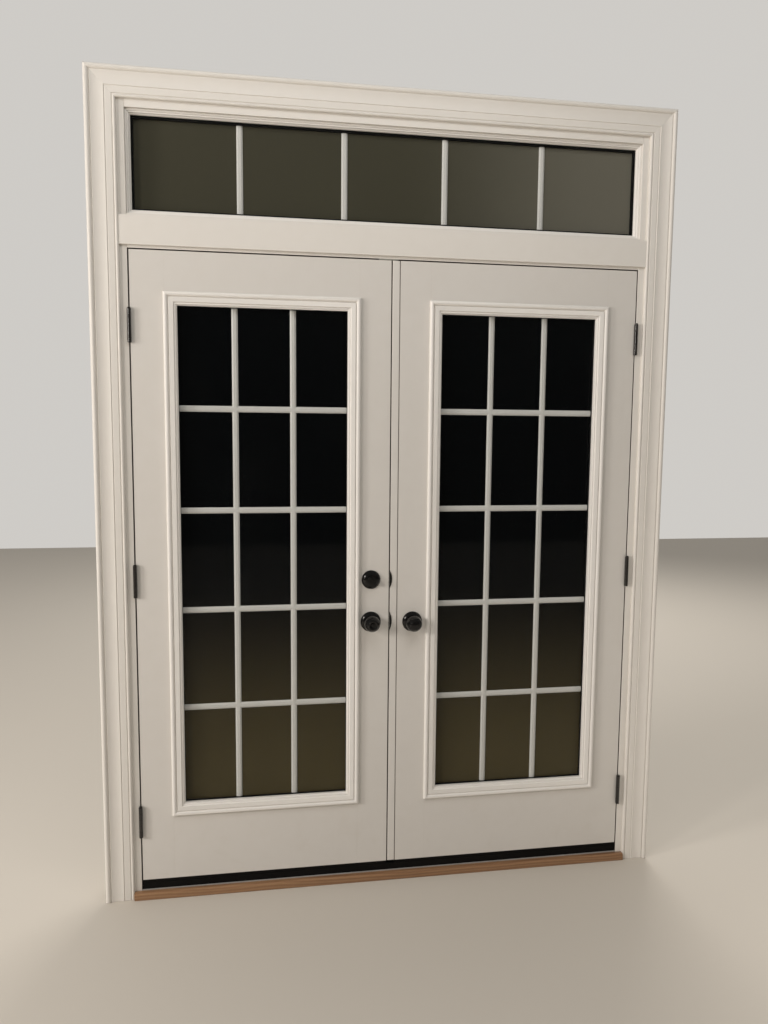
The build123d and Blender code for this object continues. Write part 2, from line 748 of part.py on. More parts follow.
def sill_deck():
    """The aluminium deck: level under the leaves, falling outdoors to a drip edge between the trims."""
    nose = OUTDOOR + DECK_OVERHANG
    low = DECK_TOP - DECK_FALL
    slope = DECK_FALL / (nose - STOP_FACE)
    section = [
        (INDOOR, SILL_BASE_HEIGHT),
        (INDOOR, DECK_TOP),
        (STOP_FACE, DECK_TOP),
        (nose, low),
        (nose, low - DECK_DRIP),
        (nose - DECK_THICKNESS, low - DECK_DRIP),
        (nose - DECK_THICKNESS, low - DECK_THICKNESS + slope * DECK_THICKNESS),
        (STOP_FACE, SILL_BASE_HEIGHT),
    ]
    deck = along_x(section, (-HALF_OPENING, HALF_OPENING))
    trim_face = HALF_STOPS + BRICKMOULD_REVEAL
    for side in (-1, 1):
        deck -= block(
            (side * trim_face, side * (HALF_OPENING + 1)), (OUTDOOR, nose + 1), (-1, DECK_TOP + 1)
        )
    return deck


def sill_cap():
    """The adjustable cap under the leaves, with the lower bolt's socket."""
    y = (INDOOR + CAP_SETBACK, INDOOR + CAP_SETBACK + CAP_DEPTH)
    section = [
        (y[0], DECK_TOP),
        (y[0], CAP_TOP - ARRIS),
        (y[0] + ARRIS, CAP_TOP),
        (y[1] - ARRIS, CAP_TOP),
        (y[1], CAP_TOP - ARRIS),
        (y[1], DECK_TOP),
    ]
    cap = along_x(section, (-HALF_OPENING, HALF_OPENING))
    reach = FLUSH_BOLT_THROW - FLUSH_BOLT_END_GAP + SOCKET_SPARE
    return cap - bolt_socket((LEAF_BOTTOM - reach, CAP_TOP + 1))


def floor_nosing():
    """The oak strip in front of the sill, between the casings, with a rounded front top edge."""
    strip = block(
        (-HALF_CASING, HALF_CASING), (INDOOR - NOSING_DEPTH, INDOOR), (0, SILL_BASE_HEIGHT)
    )
    front = strip.edges().filter_by(Axis.X).group_by(Axis.Y)[0].sort_by(Axis.Z)[-1]
    return fillet(front, NOSING_DEPTH / 2)


# Hinges


def knuckle(index, bottom, side_x):
    """One knuckle of a barrel, with the neck that joins it to its leaf's plate."""
    length = HINGE_LENGTH / HINGE_KNUCKLES
    low = bottom + index * length + (RUNNING_CLEARANCE / 2 if index else 0)
    last = index == HINGE_KNUCKLES - 1
    high = bottom + (index + 1) * length - (0 if last else RUNNING_CLEARANCE / 2)
    barrel = rod((-HINGE_PIN_X, HINGE_PIN_Y, low), (-HINGE_PIN_X, HINGE_PIN_Y, high), HINGE_BARREL_RADIUS)
    neck = block(side_x, (HINGE_PIN_Y, INDOOR), (low, high))
    return barrel + neck


def hinge_leaf(bottom, face_x, inward, knuckles):
    """A hinge leaf: its plate in the mortise and its share of the barrel."""
    side_x = (face_x, face_x + inward * HINGE_LEAF_THICKNESS)
    leaf = block(side_x, (INDOOR, INDOOR + HINGE_LEAF_WIDTH), (bottom, bottom + HINGE_LENGTH))
    for index in knuckles:
        leaf += knuckle(index, bottom, side_x)
    bore = HINGE_PIN_RADIUS + HINGE_PIN_CLEARANCE
    leaf -= rod(
        (-HINGE_PIN_X, HINGE_PIN_Y, bottom - 1),
        (-HINGE_PIN_X, HINGE_PIN_Y, bottom + HINGE_LENGTH + 1),
        bore,
    )
    return leaf.solid()


def hinges():
    """The frame's hinge leaves, the pins, and each door leaf's hinge leaves."""
    frame_side = []
    door_side = []
    pins = []
    even = range(0, HINGE_KNUCKLES, 2)
    odd = range(1, HINGE_KNUCKLES, 2)
    for bottom in hinge_bottoms():
        top = bottom + HINGE_LENGTH
        frame_side.append(hinge_leaf(bottom, -HALF_OPENING, -1, even))
        door_side.append(hinge_leaf(bottom, -HALF_OPENING + LEAF_GAP, 1, odd))
        x, y = -HINGE_PIN_X, HINGE_PIN_Y
        pin = rod((x, y, bottom), (x, y, top), HINGE_PIN_RADIUS)
        pin += rod((x, y, top), (x, y, top + HINGE_PIN_HEAD), HINGE_PIN_HEAD_RADIUS)
        pins.append(pin.solid())
    right = [mirror(piece, about=MIRROR_X).solid() for piece in frame_side]
    right_pins = [mirror(piece, about=MIRROR_X).solid() for piece in pins]
    door_leaves = Compound(door_side)
    return {
        "hinge_leaves_frame": Compound(frame_side + right),
        "hinge_pins": Compound(pins + right_pins),
        "hinge_leaves_active": door_leaves,
        "hinge_leaves_passive": mirror(door_leaves, about=MIRROR_X),
    }


# Knobs, latch and deadbolt


def rose_edges(radius, height, top_radius):
    """The outline of a domed rose, from the leaf's face at its rim to its top."""
    shoulder = (radius - ROSE_RIM / 3, ROSE_RIM)
    top = (top_radius, height)
    middle = ((shoulder[0] + top[0]) / 2 + ROSE_RIM * 0.7, (shoulder[1] + top[1]) / 2 + ROSE_RIM / 2)
    edges = chain((radius, 0), (radius, ROSE_RIM * 0.7), shoulder)
    return edges + [ThreePointArc(shoulder, middle, top)]


def rose(x, z, radius, height, bore):
    """A domed rose on the indoor face, with a round hole for its neck."""
    top_radius = bore + ROSE_LAND
    profile = chain((bore, 0), (radius, 0)) + rose_edges(radius, height, top_radius)
    profile += chain((top_radius, height), (bore, height), (bore, 0))
    return turned(profile, x, z)


def knob_edges(start, recess_radius):
    """The outline of a round knob, from its neck to the axis, with a recess of that radius in its front."""
    neck_end = (KNOB_NECK_RADIUS, KNOB_NECK_END)
    widest = (KNOB_RADIUS, KNOB_WIDEST_AT)
    front = (KNOB_FACE_RADIUS, KNOB_LENGTH)
    back_bulge = (KNOB_RADIUS * 0.83, (KNOB_NECK_END + KNOB_WIDEST_AT) / 2 - KNOB_RADIUS * 0.06)
    front_bulge = (KNOB_RADIUS * 0.85, (KNOB_WIDEST_AT + KNOB_LENGTH) / 2 + KNOB_RADIUS * 0.06)
    edges = chain((KNOB_NECK_RADIUS, start), neck_end)
    edges += [ThreePointArc(neck_end, back_bulge, widest), ThreePointArc(widest, front_bulge, front)]
    if not recess_radius:
        return edges + chain(front, (0, KNOB_LENGTH - KNOB_FACE_DISH))
    rim = (recess_radius, KNOB_LENGTH - KNOB_FACE_DISH)
    floor = KNOB_LENGTH - BUTTON_RECESS
    return edges + chain(front, rim, (recess_radius, floor), (0, floor))


def knob_profile(recess_radius):
    """A whole knob's outline, closed along the leaf's face and the axis."""
    edges = knob_edges(0, recess_radius)
    end = edges[-1] @ 1
    return edges + chain((end.X, end.Y), (0, 0), (KNOB_NECK_RADIUS, 0))


def knobs():
    """The active leaf's roses and knobs. The outdoor knob carries the spindle that the indoor one sits on."""
    neck_hole = KNOB_NECK_RADIUS + RUNNING_CLEARANCE
    rose_indoor = rose(KNOB_X, KNOB_Z, ROSE_RADIUS, ROSE_HEIGHT, neck_hole)
    recess = BUTTON_RADIUS + RUNNING_CLEARANCE
    knob_indoor = turned(knob_profile(recess), KNOB_X, KNOB_Z)
    spindle_end = KNOB_NECK_END - SPINDLE_FIT
    knob_indoor -= rod(
        (KNOB_X, INDOOR + 1, KNOB_Z),
        (KNOB_X, INDOOR - KNOB_NECK_END, KNOB_Z),
        SPINDLE_RADIUS + SPINDLE_FIT,
    )
    stem_hole = BUTTON_STEM_RADIUS + RUNNING_CLEARANCE
    knob_indoor -= rod(
        (KNOB_X, INDOOR, KNOB_Z), (KNOB_X, INDOOR - KNOB_LENGTH, KNOB_Z), stem_hole
    )
    knob_outdoor = mirror(turned(knob_profile(0), KNOB_X, KNOB_Z), about=MIRROR_LEAF)
    knob_outdoor += rod(
        (KNOB_X, LEAF_OUTDOOR, KNOB_Z), (KNOB_X, INDOOR - spindle_end, KNOB_Z), SPINDLE_RADIUS
    )
    return {
        "rose_indoor": rose_indoor,
        "rose_outdoor": mirror(rose_indoor, about=MIRROR_LEAF),
        "knob_indoor": knob_indoor,
        "knob_outdoor": knob_outdoor,
        "turn_button": turn_button(spindle_end),
    }


def turn_button(spindle_end):
    """The small button in the knob's centre: a disc with an upright tab, on a stem."""
    back = INDOOR - KNOB_LENGTH + BUTTON_RECESS - RUNNING_CLEARANCE
    face = back - BUTTON_THICKNESS
    half_tab = BUTTON_TAB_LENGTH / 2
    button = rod((KNOB_X, back, KNOB_Z), (KNOB_X, face, KNOB_Z), BUTTON_RADIUS)
    button += block(
        (KNOB_X - BUTTON_TAB / 2, KNOB_X + BUTTON_TAB / 2),
        (face - BUTTON_TAB_PROUD, back),
        (KNOB_Z - half_tab, KNOB_Z + half_tab),
    )
    stem_start = INDOOR - spindle_end - RUNNING_CLEARANCE
    return button + rod((KNOB_X, stem_start, KNOB_Z), (KNOB_X, face, KNOB_Z), BUTTON_STEM_RADIUS)


def dummy_knobs():
    """The passive leaf's fixed knobs, each one piece with its rose."""
    seat_radius = KNOB_NECK_RADIUS + RUNNING_CLEARANCE + ROSE_LAND
    seat = (seat_radius, ROSE_HEIGHT)
    neck = (KNOB_NECK_RADIUS, ROSE_HEIGHT)
    profile = rose_edges(ROSE_RADIUS, ROSE_HEIGHT, seat_radius) + chain(seat, neck)
    profile += knob_edges(ROSE_HEIGHT, 0)
    profile += chain((0, KNOB_LENGTH - KNOB_FACE_DISH), (0, 0), (ROSE_RADIUS, 0))
    indoor = turned(profile, DUMMY_KNOB_X, KNOB_Z - PASSIVE_KNOB_DROP)
    return {
        "dummy_knob_indoor": indoor,
        "dummy_knob_outdoor": mirror(indoor, about=MIRROR_LEAF),
    }


def faceplate_x():
    """The faceplates' outer and inner faces, just under the bevelled lock edge."""
    bevel = math.tan(math.radians(LOCK_EDGE_BEVEL))
    outer = ACTIVE_EDGE - bevel * (LEAF_THICKNESS + FACEPLATE_WIDTH) / 2
    return (outer, outer - FACEPLATE_THICKNESS)


def bolt_case(z, width, height):
    """A tubular case with its faceplate, and the channel that its bolt slides in."""
    outer, inner = faceplate_x()
    half_plate = FACEPLATE_HEIGHT / 2
    case = block(
        (outer, inner),
        (LEAF_MIDDLE - FACEPLATE_WIDTH / 2, LEAF_MIDDLE + FACEPLATE_WIDTH / 2),
        (z - half_plate, z + half_plate),
    )
    radius = EDGE_BORE_RADIUS - RUNNING_CLEARANCE
    case += rod((inner + 1, LEAF_MIDDLE, z), (inner - CASE_REACH, LEAF_MIDDLE, z), radius)
    half_width = width / 2 + RUNNING_CLEARANCE
    half_height = height / 2 + RUNNING_CLEARANCE
    return case - block(
        (outer + 1, inner - CASE_REACH - 1),
        (LEAF_MIDDLE - half_width, LEAF_MIDDLE + half_width),
        (z - half_height, z + half_height),
    )


def latch_bolt():
    """The latch bolt, drawn back, with its slope on the outdoor side."""
    tip = faceplate_x()[0] - BOLT_SETBACK
    half = LATCH_WIDTH / 2
    section = [
        (tip - LATCH_LENGTH, LEAF_MIDDLE - half),
        (tip, LEAF_MIDDLE - half),
        (tip, LEAF_MIDDLE - half + LATCH_NOSE_LAND),
        (tip - LATCH_NOSE, LEAF_MIDDLE + half),
        (tip - LATCH_LENGTH, LEAF_MIDDLE + half),
    ]
    return along_z(section, (KNOB_Z - LATCH_HEIGHT / 2, KNOB_Z + LATCH_HEIGHT / 2))


def deadbolt():
    """The deadbolt, drawn back."""
    tip = faceplate_x()[0] - BOLT_SETBACK
    return block(
        (tip - DEADBOLT_LENGTH, tip),
        (LEAF_MIDDLE - DEADBOLT_BOLT_WIDTH / 2, LEAF_MIDDLE + DEADBOLT_BOLT_WIDTH / 2),
        (DEADBOLT_Z - DEADBOLT_BOLT_HEIGHT / 2, DEADBOLT_Z + DEADBOLT_BOLT_HEIGHT / 2),
    )


def thumb_turn():
    """The deadbolt's thumb-turn, at rest on the slant, with its tailpiece through the leaf."""
    hub = DEADBOLT_ROSE_HEIGHT + THUMB_TURN_NECK
    front = INDOOR - hub
    turn = rod((KNOB_X, INDOOR, DEADBOLT_Z), (KNOB_X, front, DEADBOLT_Z), THUMB_TURN_NECK_RADIUS)
    plane = Plane(origin=(KNOB_X, front, DEADBOLT_Z), x_dir=(1, 0, 0), z_dir=(0, -1, 0))
    grip = SlotOverall(THUMB_TURN_LENGTH, THUMB_TURN_WIDTH, rotation=-THUMB_TURN_ANGLE)
    turn += extrude(plane * grip, THUMB_TURN_PROUD - THUMB_TURN_NECK)
    return turn + rod(
        (KNOB_X, INDOOR, DEADBOLT_Z),
        (KNOB_X, LEAF_OUTDOOR - RUNNING_CLEARANCE, DEADBOLT_Z),
        TAILPIECE_RADIUS,
    )


def deadbolt_cylinder():
    """The outdoor cylinder: a tapered collar over the bore with a keyway in its face."""
    profile = chain(
        (0, 0),
        (DEADBOLT_ROSE_RADIUS, 0),
        (DEADBOLT_ROSE_RADIUS, ROSE_RIM),
        (CYLINDER_RADIUS, CYLINDER_HEIGHT),
        (0, CYLINDER_HEIGHT),
        (0, 0),
    )
    collar = turned(profile, KNOB_X, DEADBOLT_Z)
    collar -= block(
        (KNOB_X - KEYWAY_WIDTH / 2, KNOB_X + KEYWAY_WIDTH / 2),
        (INDOOR - CYLINDER_HEIGHT - 1, INDOOR - CYLINDER_HEIGHT + KEYWAY_DEPTH),
        (DEADBOLT_Z - KEYWAY_LENGTH / 2, DEADBOLT_Z + KEYWAY_LENGTH / 2),
    )
    return mirror(collar, about=MIRROR_LEAF)


def lock_bores(z):
    """The bores of one lock in the active slab: through, from the edge, and the faceplate's mortise."""
    outer, inner = faceplate_x()
    half_plate = FACEPLATE_HEIGHT / 2
    return [
        rod((KNOB_X, INDOOR - 1, z), (KNOB_X, LEAF_OUTDOOR + 1, z), CROSS_BORE_RADIUS),
        rod((ACTIVE_EDGE + 1, LEAF_MIDDLE, z), (KNOB_X, LEAF_MIDDLE, z), EDGE_BORE_RADIUS),
        block(
            (ACTIVE_EDGE + 1, inner),
            (LEAF_MIDDLE - FACEPLATE_WIDTH / 2, LEAF_MIDDLE + FACEPLATE_WIDTH / 2),
            (z - half_plate, z + half_plate),
        ),
    ]


def locks():
    """The deadbolt's and the latch's cases, bolts and trim."""
    turn_hole = THUMB_TURN_NECK_RADIUS + RUNNING_CLEARANCE
    return {
        "latch_case": bolt_case(KNOB_Z, LATCH_WIDTH, LATCH_HEIGHT),
        "latch_bolt": latch_bolt(),
        "deadbolt_case": bolt_case(DEADBOLT_Z, DEADBOLT_BOLT_WIDTH, DEADBOLT_BOLT_HEIGHT),
        "deadbolt": deadbolt(),
        "deadbolt_rose": rose(KNOB_X, DEADBOLT_Z, DEADBOLT_ROSE_RADIUS, DEADBOLT_ROSE_HEIGHT, turn_hole),
        "deadbolt_cylinder": deadbolt_cylinder(),
        "thumb_turn": thumb_turn(),
    }


# Astragal, strikes and flush bolts


def strike_pocket(z, width, height, throw):
    """The room for a thrown bolt, from the meeting gap into the astragal."""
    tip = faceplate_x()[0] - BOLT_SETBACK + throw
    return block(
        (ACTIVE_EDGE, tip + POCKET_FLOOR),
        (LEAF_MIDDLE - width / 2 - POCKET_CLEARANCE, LEAF_MIDDLE + width / 2 + POCKET_CLEARANCE),
        (z - height / 2 - POCKET_CLEARANCE, z + height / 2 + POCKET_CLEARANCE),
    )


def pockets():
    """Both bolts' pockets."""
    return [
        strike_pocket(KNOB_Z, LATCH_WIDTH, LATCH_HEIGHT, LATCH_THROW),
        strike_pocket(DEADBOLT_Z, DEADBOLT_BOLT_WIDTH, DEADBOLT_BOLT_HEIGHT, DEADBOLT_THROW),
    ]


def strike_places():
    """Each strike's height on the leaf and its own length."""
    return [(KNOB_Z, LATCH_STRIKE_HEIGHT), (DEADBOLT_Z, DEADBOLT_STRIKE_HEIGHT)]


def strike_mortise(z, height):
    """The plate's recess in the astragal's edge."""
    return block(
        (ASTRAGAL_FACE, ASTRAGAL_FACE + STRIKE_THICKNESS),
        (INDOOR, INDOOR + STRIKE_DEPTH),
        (z - height / 2, z + height / 2),
    )


def strike_plates():
    """Both strikes: a plate let into the edge, and a bowed lip round the astragal's indoor corner."""
    plates = []
    for z, height in strike_places():
        plane = Plane(origin=(ASTRAGAL_FACE, INDOOR, z), x_dir=(1, 0, 0), z_dir=(0, -1, 0))
        lip = make_face(
            [
                ThreePointArc((0, -height / 2), (STRIKE_LIP, 0), (0, height / 2)),
                Line((0, height / 2), (0, -height / 2)),
            ]
        )
        plate = strike_mortise(z, height) + extrude(plane * lip, STRIKE_THICKNESS)
        plates.append((plate - pockets()).solid())
    return Compound(plates)


def channel_y(width):
    """A flush bolt channel's sides."""
    return (LEAF_MIDDLE - width / 2, LEAF_MIDDLE + width / 2)


def bolt_socket(z):
    """The room for the end of a flush bolt, in the head or the sill's cap."""
    start = ASTRAGAL_FACE + CHANNEL_LIP
    return block(
        (start - SOCKET_CLEARANCE, start + FLUSH_BOLT_THICKNESS + SOCKET_CLEARANCE),
        channel_y(FLUSH_BOLT_WIDTH + 2 * SOCKET_CLEARANCE),
        z,
    )


def lug_z():
    """The upper bolt's thumb lug, drawn back, from end to end."""
    bottom = LEAF_TOP - FLUSH_BOLT_END_GAP - FLUSH_BOLT_LENGTH + FLUSH_BOLT_LUG_INSET
    return (bottom, bottom + FLUSH_BOLT_LUG)


def top_bolt_channel():
    """The upper bolt's guide, out through the astragal's end, and the slot that its lug travels in."""
    start = ASTRAGAL_FACE + CHANNEL_LIP
    bottom = LEAF_TOP - FLUSH_BOLT_END_GAP - FLUSH_BOLT_LENGTH - RUNNING_CLEARANCE
    guide = block(
        (start - RUNNING_CLEARANCE, start + FLUSH_BOLT_THICKNESS + RUNNING_CLEARANCE),
        channel_y(FLUSH_BOLT_WIDTH + 2 * RUNNING_CLEARANCE),
        (bottom, LEAF_TOP),
    )
    lug_bottom, lug_top = lug_z()
    mouth = block(
        (ASTRAGAL_FACE, start),
        channel_y(CHANNEL_MOUTH),
        (lug_bottom - CHANNEL_MOUTH_SPARE, lug_top + FLUSH_BOLT_THROW + CHANNEL_MOUTH_SPARE),
    )
    return guide + mouth


def flush_bolt_top():
    """The upper flush bolt, drawn back: a flat bar with a thumb lug near its inner end."""
    top = LEAF_TOP - FLUSH_BOLT_END_GAP
    start = ASTRAGAL_FACE + CHANNEL_LIP
    bolt = block(
        (start, start + FLUSH_BOLT_THICKNESS),
        channel_y(FLUSH_BOLT_WIDTH),
        (top - FLUSH_BOLT_LENGTH, top),
    )
    return bolt + block(
        (ASTRAGAL_FACE + RUNNING_CLEARANCE, start),
        channel_y(CHANNEL_MOUTH - 2 * RUNNING_CLEARANCE),
        lug_z(),
    )


def flush_bolts():
    """Both flush bolts, the lower one the upper one's mirror image about the leaf's middle height."""
    top = flush_bolt_top()
    return {"flush_bolt_top": top, "flush_bolt_bottom": mirror(top, about=MIRROR_HEIGHT)}


def astragal():
    """The passive leaf's flush astragal, with its pockets, strike recesses, bolt channels and seal groove."""
    bar = block((ASTRAGAL_FACE, PASSIVE_EDGE), (INDOOR, LEAF_OUTDOOR), (LEAF_BOTTOM, LEAF_TOP))
    bar -= pockets()
    bar -= [strike_mortise(z, height) for z, height in strike_places()]
    channel = top_bolt_channel()
    bar -= [channel, mirror(channel, about=MIRROR_HEIGHT)]
    return bar - block(
        (ASTRAGAL_FACE - 1, ASTRAGAL_FACE + BULB_SEAL_GROOVE),
        bulb_seal_y(BULB_SEAL_WIDTH / 2),
        (LEAF_BOTTOM - 1, LEAF_TOP + 1),
    )


def bulb_seal_y(width):
    """The bulb seal's sides, for its bulb or its barb."""
    return (INDOOR + BULB_SEAL_AT - width / 2, INDOOR + BULB_SEAL_AT + width / 2)


def astragal_seal():
    """The bulb seal in the meeting gap, notched at the strikes."""
    stops = [LEAF_BOTTOM]
    for z, height in strike_places():
        stops += [z - height / 2, z + height / 2]
    stops.append(LEAF_TOP)
    runs = []
    for z in zip(stops[::2], stops[1::2]):
        bulb = block(
            (ACTIVE_EDGE + RUNNING_CLEARANCE, ASTRAGAL_FACE), bulb_seal_y(BULB_SEAL_WIDTH), z
        )
        barb = block(
            (ASTRAGAL_FACE, ASTRAGAL_FACE + BULB_SEAL_GROOVE), bulb_seal_y(BULB_SEAL_WIDTH / 2), z
        )
        runs.append((bulb + barb).solid())
    return Compound(runs)


def build():
    """Every piece by its name."""
    pieces = {}
    pieces.update(casings())
    pieces.update(brickmoulds())
    pieces["jamb_left"] = jamb_left()
    pieces["jamb_right"] = mirror(pieces["jamb_left"], about=MIRROR_X)
    pieces["door_head_jamb"] = door_head_jamb()
    pieces["door_head_stop"] = door_head_stop()
    pieces["mull_filler"] = mull_filler()
    pieces["transom_sill"] = head_member(TRANSOM_BOTTOM, False)
    pieces["transom_head_jamb"] = head_member(TRANSOM_TOP, True)
    pieces["transom_band"] = transom_band()
    pieces["transom_stop"] = transom_stop()
    pieces.update(transom_glass())
    pieces["weatherstrip"] = weatherstrips()
    pieces["sill_base"] = sill_base()
    pieces["sill_deck"] = sill_deck()
    pieces["sill_cap"] = sill_cap()
    pieces["floor_nosing"] = floor_nosing()
    pieces.update(hinges())
    for name, piece in lite_parts().items():
        pieces["active_" + name] = piece
        pieces["passive_" + name] = mirror(piece, about=MIRROR_X)
    pieces["active_slab"] = slab(ACTIVE_EDGE, LOCK_EDGE_BEVEL) - lock_bores(KNOB_Z) - lock_bores(DEADBOLT_Z)
    pieces["passive_slab"] = mirror(slab(-PASSIVE_EDGE, 0), about=MIRROR_X)
    hinge_edge = HALF_OPENING - LEAF_GAP
    pieces["active_sweep"] = sweep_strip((-hinge_edge, ACTIVE_EDGE - LEAF_GAP))
    pieces["passive_sweep"] = passive_sweep()
    pieces.update(knobs())
    pieces.update(dummy_knobs())
    pieces.update(locks())
    pieces["astragal"] = astragal()
    pieces["astragal_seal"] = astragal_seal()
    pieces["strike_plates"] = strike_plates()
    pieces.update(flush_bolts())
    return pieces


os.makedirs("parts", exist_ok=True)
for node, shape in build().items():
    export_step(shape, f"parts/{node}.step")
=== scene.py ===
"""French doors with a fixed transom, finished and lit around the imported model.

Lengths are metres in the model's own frame: X runs right as seen from indoors, Y runs outdoors and
Z runs up from the floor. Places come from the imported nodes' boxes.
"""

from __future__ import annotations

import json
import logging
import math
from dataclasses import dataclass
from enum import Enum, IntEnum
from typing import Any, Callable, Iterable, Sequence, Union

import bmesh
import bpy
from mathutils import Matrix, Vector

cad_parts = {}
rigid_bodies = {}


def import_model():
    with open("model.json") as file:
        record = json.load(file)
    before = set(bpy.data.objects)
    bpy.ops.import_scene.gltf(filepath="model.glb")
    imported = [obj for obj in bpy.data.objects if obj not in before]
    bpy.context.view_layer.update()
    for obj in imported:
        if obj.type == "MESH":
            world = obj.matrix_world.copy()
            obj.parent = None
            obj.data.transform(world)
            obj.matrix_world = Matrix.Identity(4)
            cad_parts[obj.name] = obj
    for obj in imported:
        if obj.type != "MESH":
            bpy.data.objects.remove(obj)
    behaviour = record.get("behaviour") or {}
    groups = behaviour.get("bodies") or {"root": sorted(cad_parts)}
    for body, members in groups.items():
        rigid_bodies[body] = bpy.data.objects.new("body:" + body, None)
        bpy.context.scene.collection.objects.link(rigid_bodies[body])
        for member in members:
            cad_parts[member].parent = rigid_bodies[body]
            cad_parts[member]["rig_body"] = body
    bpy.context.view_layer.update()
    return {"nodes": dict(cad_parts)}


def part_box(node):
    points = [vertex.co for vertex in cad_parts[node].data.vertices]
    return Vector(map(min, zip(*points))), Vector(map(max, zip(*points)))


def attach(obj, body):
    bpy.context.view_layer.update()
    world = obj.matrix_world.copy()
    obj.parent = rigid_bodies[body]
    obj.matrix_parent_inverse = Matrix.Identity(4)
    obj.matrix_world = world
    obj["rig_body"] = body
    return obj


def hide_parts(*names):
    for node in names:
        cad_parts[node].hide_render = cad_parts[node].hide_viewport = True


log = logging.getLogger("french_doors")

Point = tuple[float, float]
Place = tuple[float, float, float]
Colour = tuple[float, float, float]
Number = Union[float, "Value"]

MERGE_DISTANCE = 1e-6
ON_PLANE = 1e-4
SHARP_ANGLE = math.radians(32)
FLAT_ANGLE = math.radians(0.4)
ARC_STEPS = 10


class Slot(Enum):
    """The record's material slots."""

    FRAME = "painted_frame"
    LEAF = "painted_leaf"
    LITE_FRAME = "lite_frame"
    GLASS = "glass"
    SPACER = "spacer"
    GRILLE = "grille"
    BRONZE = "bronze"
    HINGE = "hinge"
    SEAL = "seal"
    SILL_BASE = "sill_base"
    DECK = "deck"
    CAP = "cap"
    OAK = "oak"


class Run(Enum):
    """The way that brush marks or rolling marks run: how much finer they are along X, Y and Z."""

    ALONG_X = (1.0, 40.0, 40.0)
    ALONG_Z = (40.0, 40.0, 1.0)
    ROLLED = (40.0, 40.0, 40.0)


class Kind(Enum):
    """The sorts of input that a repeating tree takes."""

    COUNT = "NodeSocketInt"
    LENGTH = "NodeSocketFloat"
    PLACE = "NodeSocketVector"


class Turned(IntEnum):
    """The seeds of the ways that the recesses in each group of screws stand."""

    FRAME_HINGES = 1
    ACTIVE_HINGES = 2
    PASSIVE_HINGES = 3
    FACEPLATES = 5
    STRIKES = 6
    ROSE = 7


# Node trees


class Value:
    """A number in a node tree, with the arithmetic that adds its Math nodes."""

    def __init__(self, graph: Graph, socket: bpy.types.NodeSocket) -> None:
        """Wraps a socket that gives a number."""
        self.graph = graph
        self.socket = socket

    def _math(self, operation: str, *values: Number) -> Value:
        """Adds one Math node.

        Args:
            operation: What it works out.
            *values: Its inputs in order.

        Returns:
            Its result.
        """
        keys = ("Value", "Value_001", "Value_002")
        node = self.graph.node("ShaderNodeMath", {"operation": operation}, dict(zip(keys, values)))
        return Value(self.graph, node.outputs[0])

    def __add__(self, other: Number) -> Value:
        """Returns the sum."""
        return self._math("ADD", self, other)

    __radd__ = __add__

    def __sub__(self, other: Number) -> Value:
        """Returns this less the other."""
        return self._math("SUBTRACT", self, other)

    def __rsub__(self, other: Number) -> Value:
        """Returns the other less this."""
        return self._math("SUBTRACT", other, self)

    def __mul__(self, other: Number) -> Value:
        """Returns the product."""
        return self._math("MULTIPLY", self, other)

    __rmul__ = __mul__

    def __truediv__(self, other: Number) -> Value:
        """Returns this over the other."""
        return self._math("DIVIDE", self, other)

    def __abs__(self) -> Value:
        """Returns the size without the sign."""
        return self._math("ABSOLUTE", self)

    def wave(self) -> Value:
        """Returns the sine."""
        return self._math("SINE", self)

    def larger(self, other: Number) -> Value:
        """Returns the larger of the two."""
        return self._math("MAXIMUM", self, other)

    def rise(self, start: float, end: float) -> Value:
        """Turns the number into a smooth rise from 0 to 1.

        Args:
            start: Up to where it is 0.
            end: From where it is 1.

        Returns:
            The rise.
        """
        node = self.graph.node(
            "ShaderNodeMapRange",
            {"interpolation_type": "SMOOTHSTEP"},
            {"Value": self, "From Min": start, "From Max": end},
        )
        return Value(self.graph, node.outputs[0])


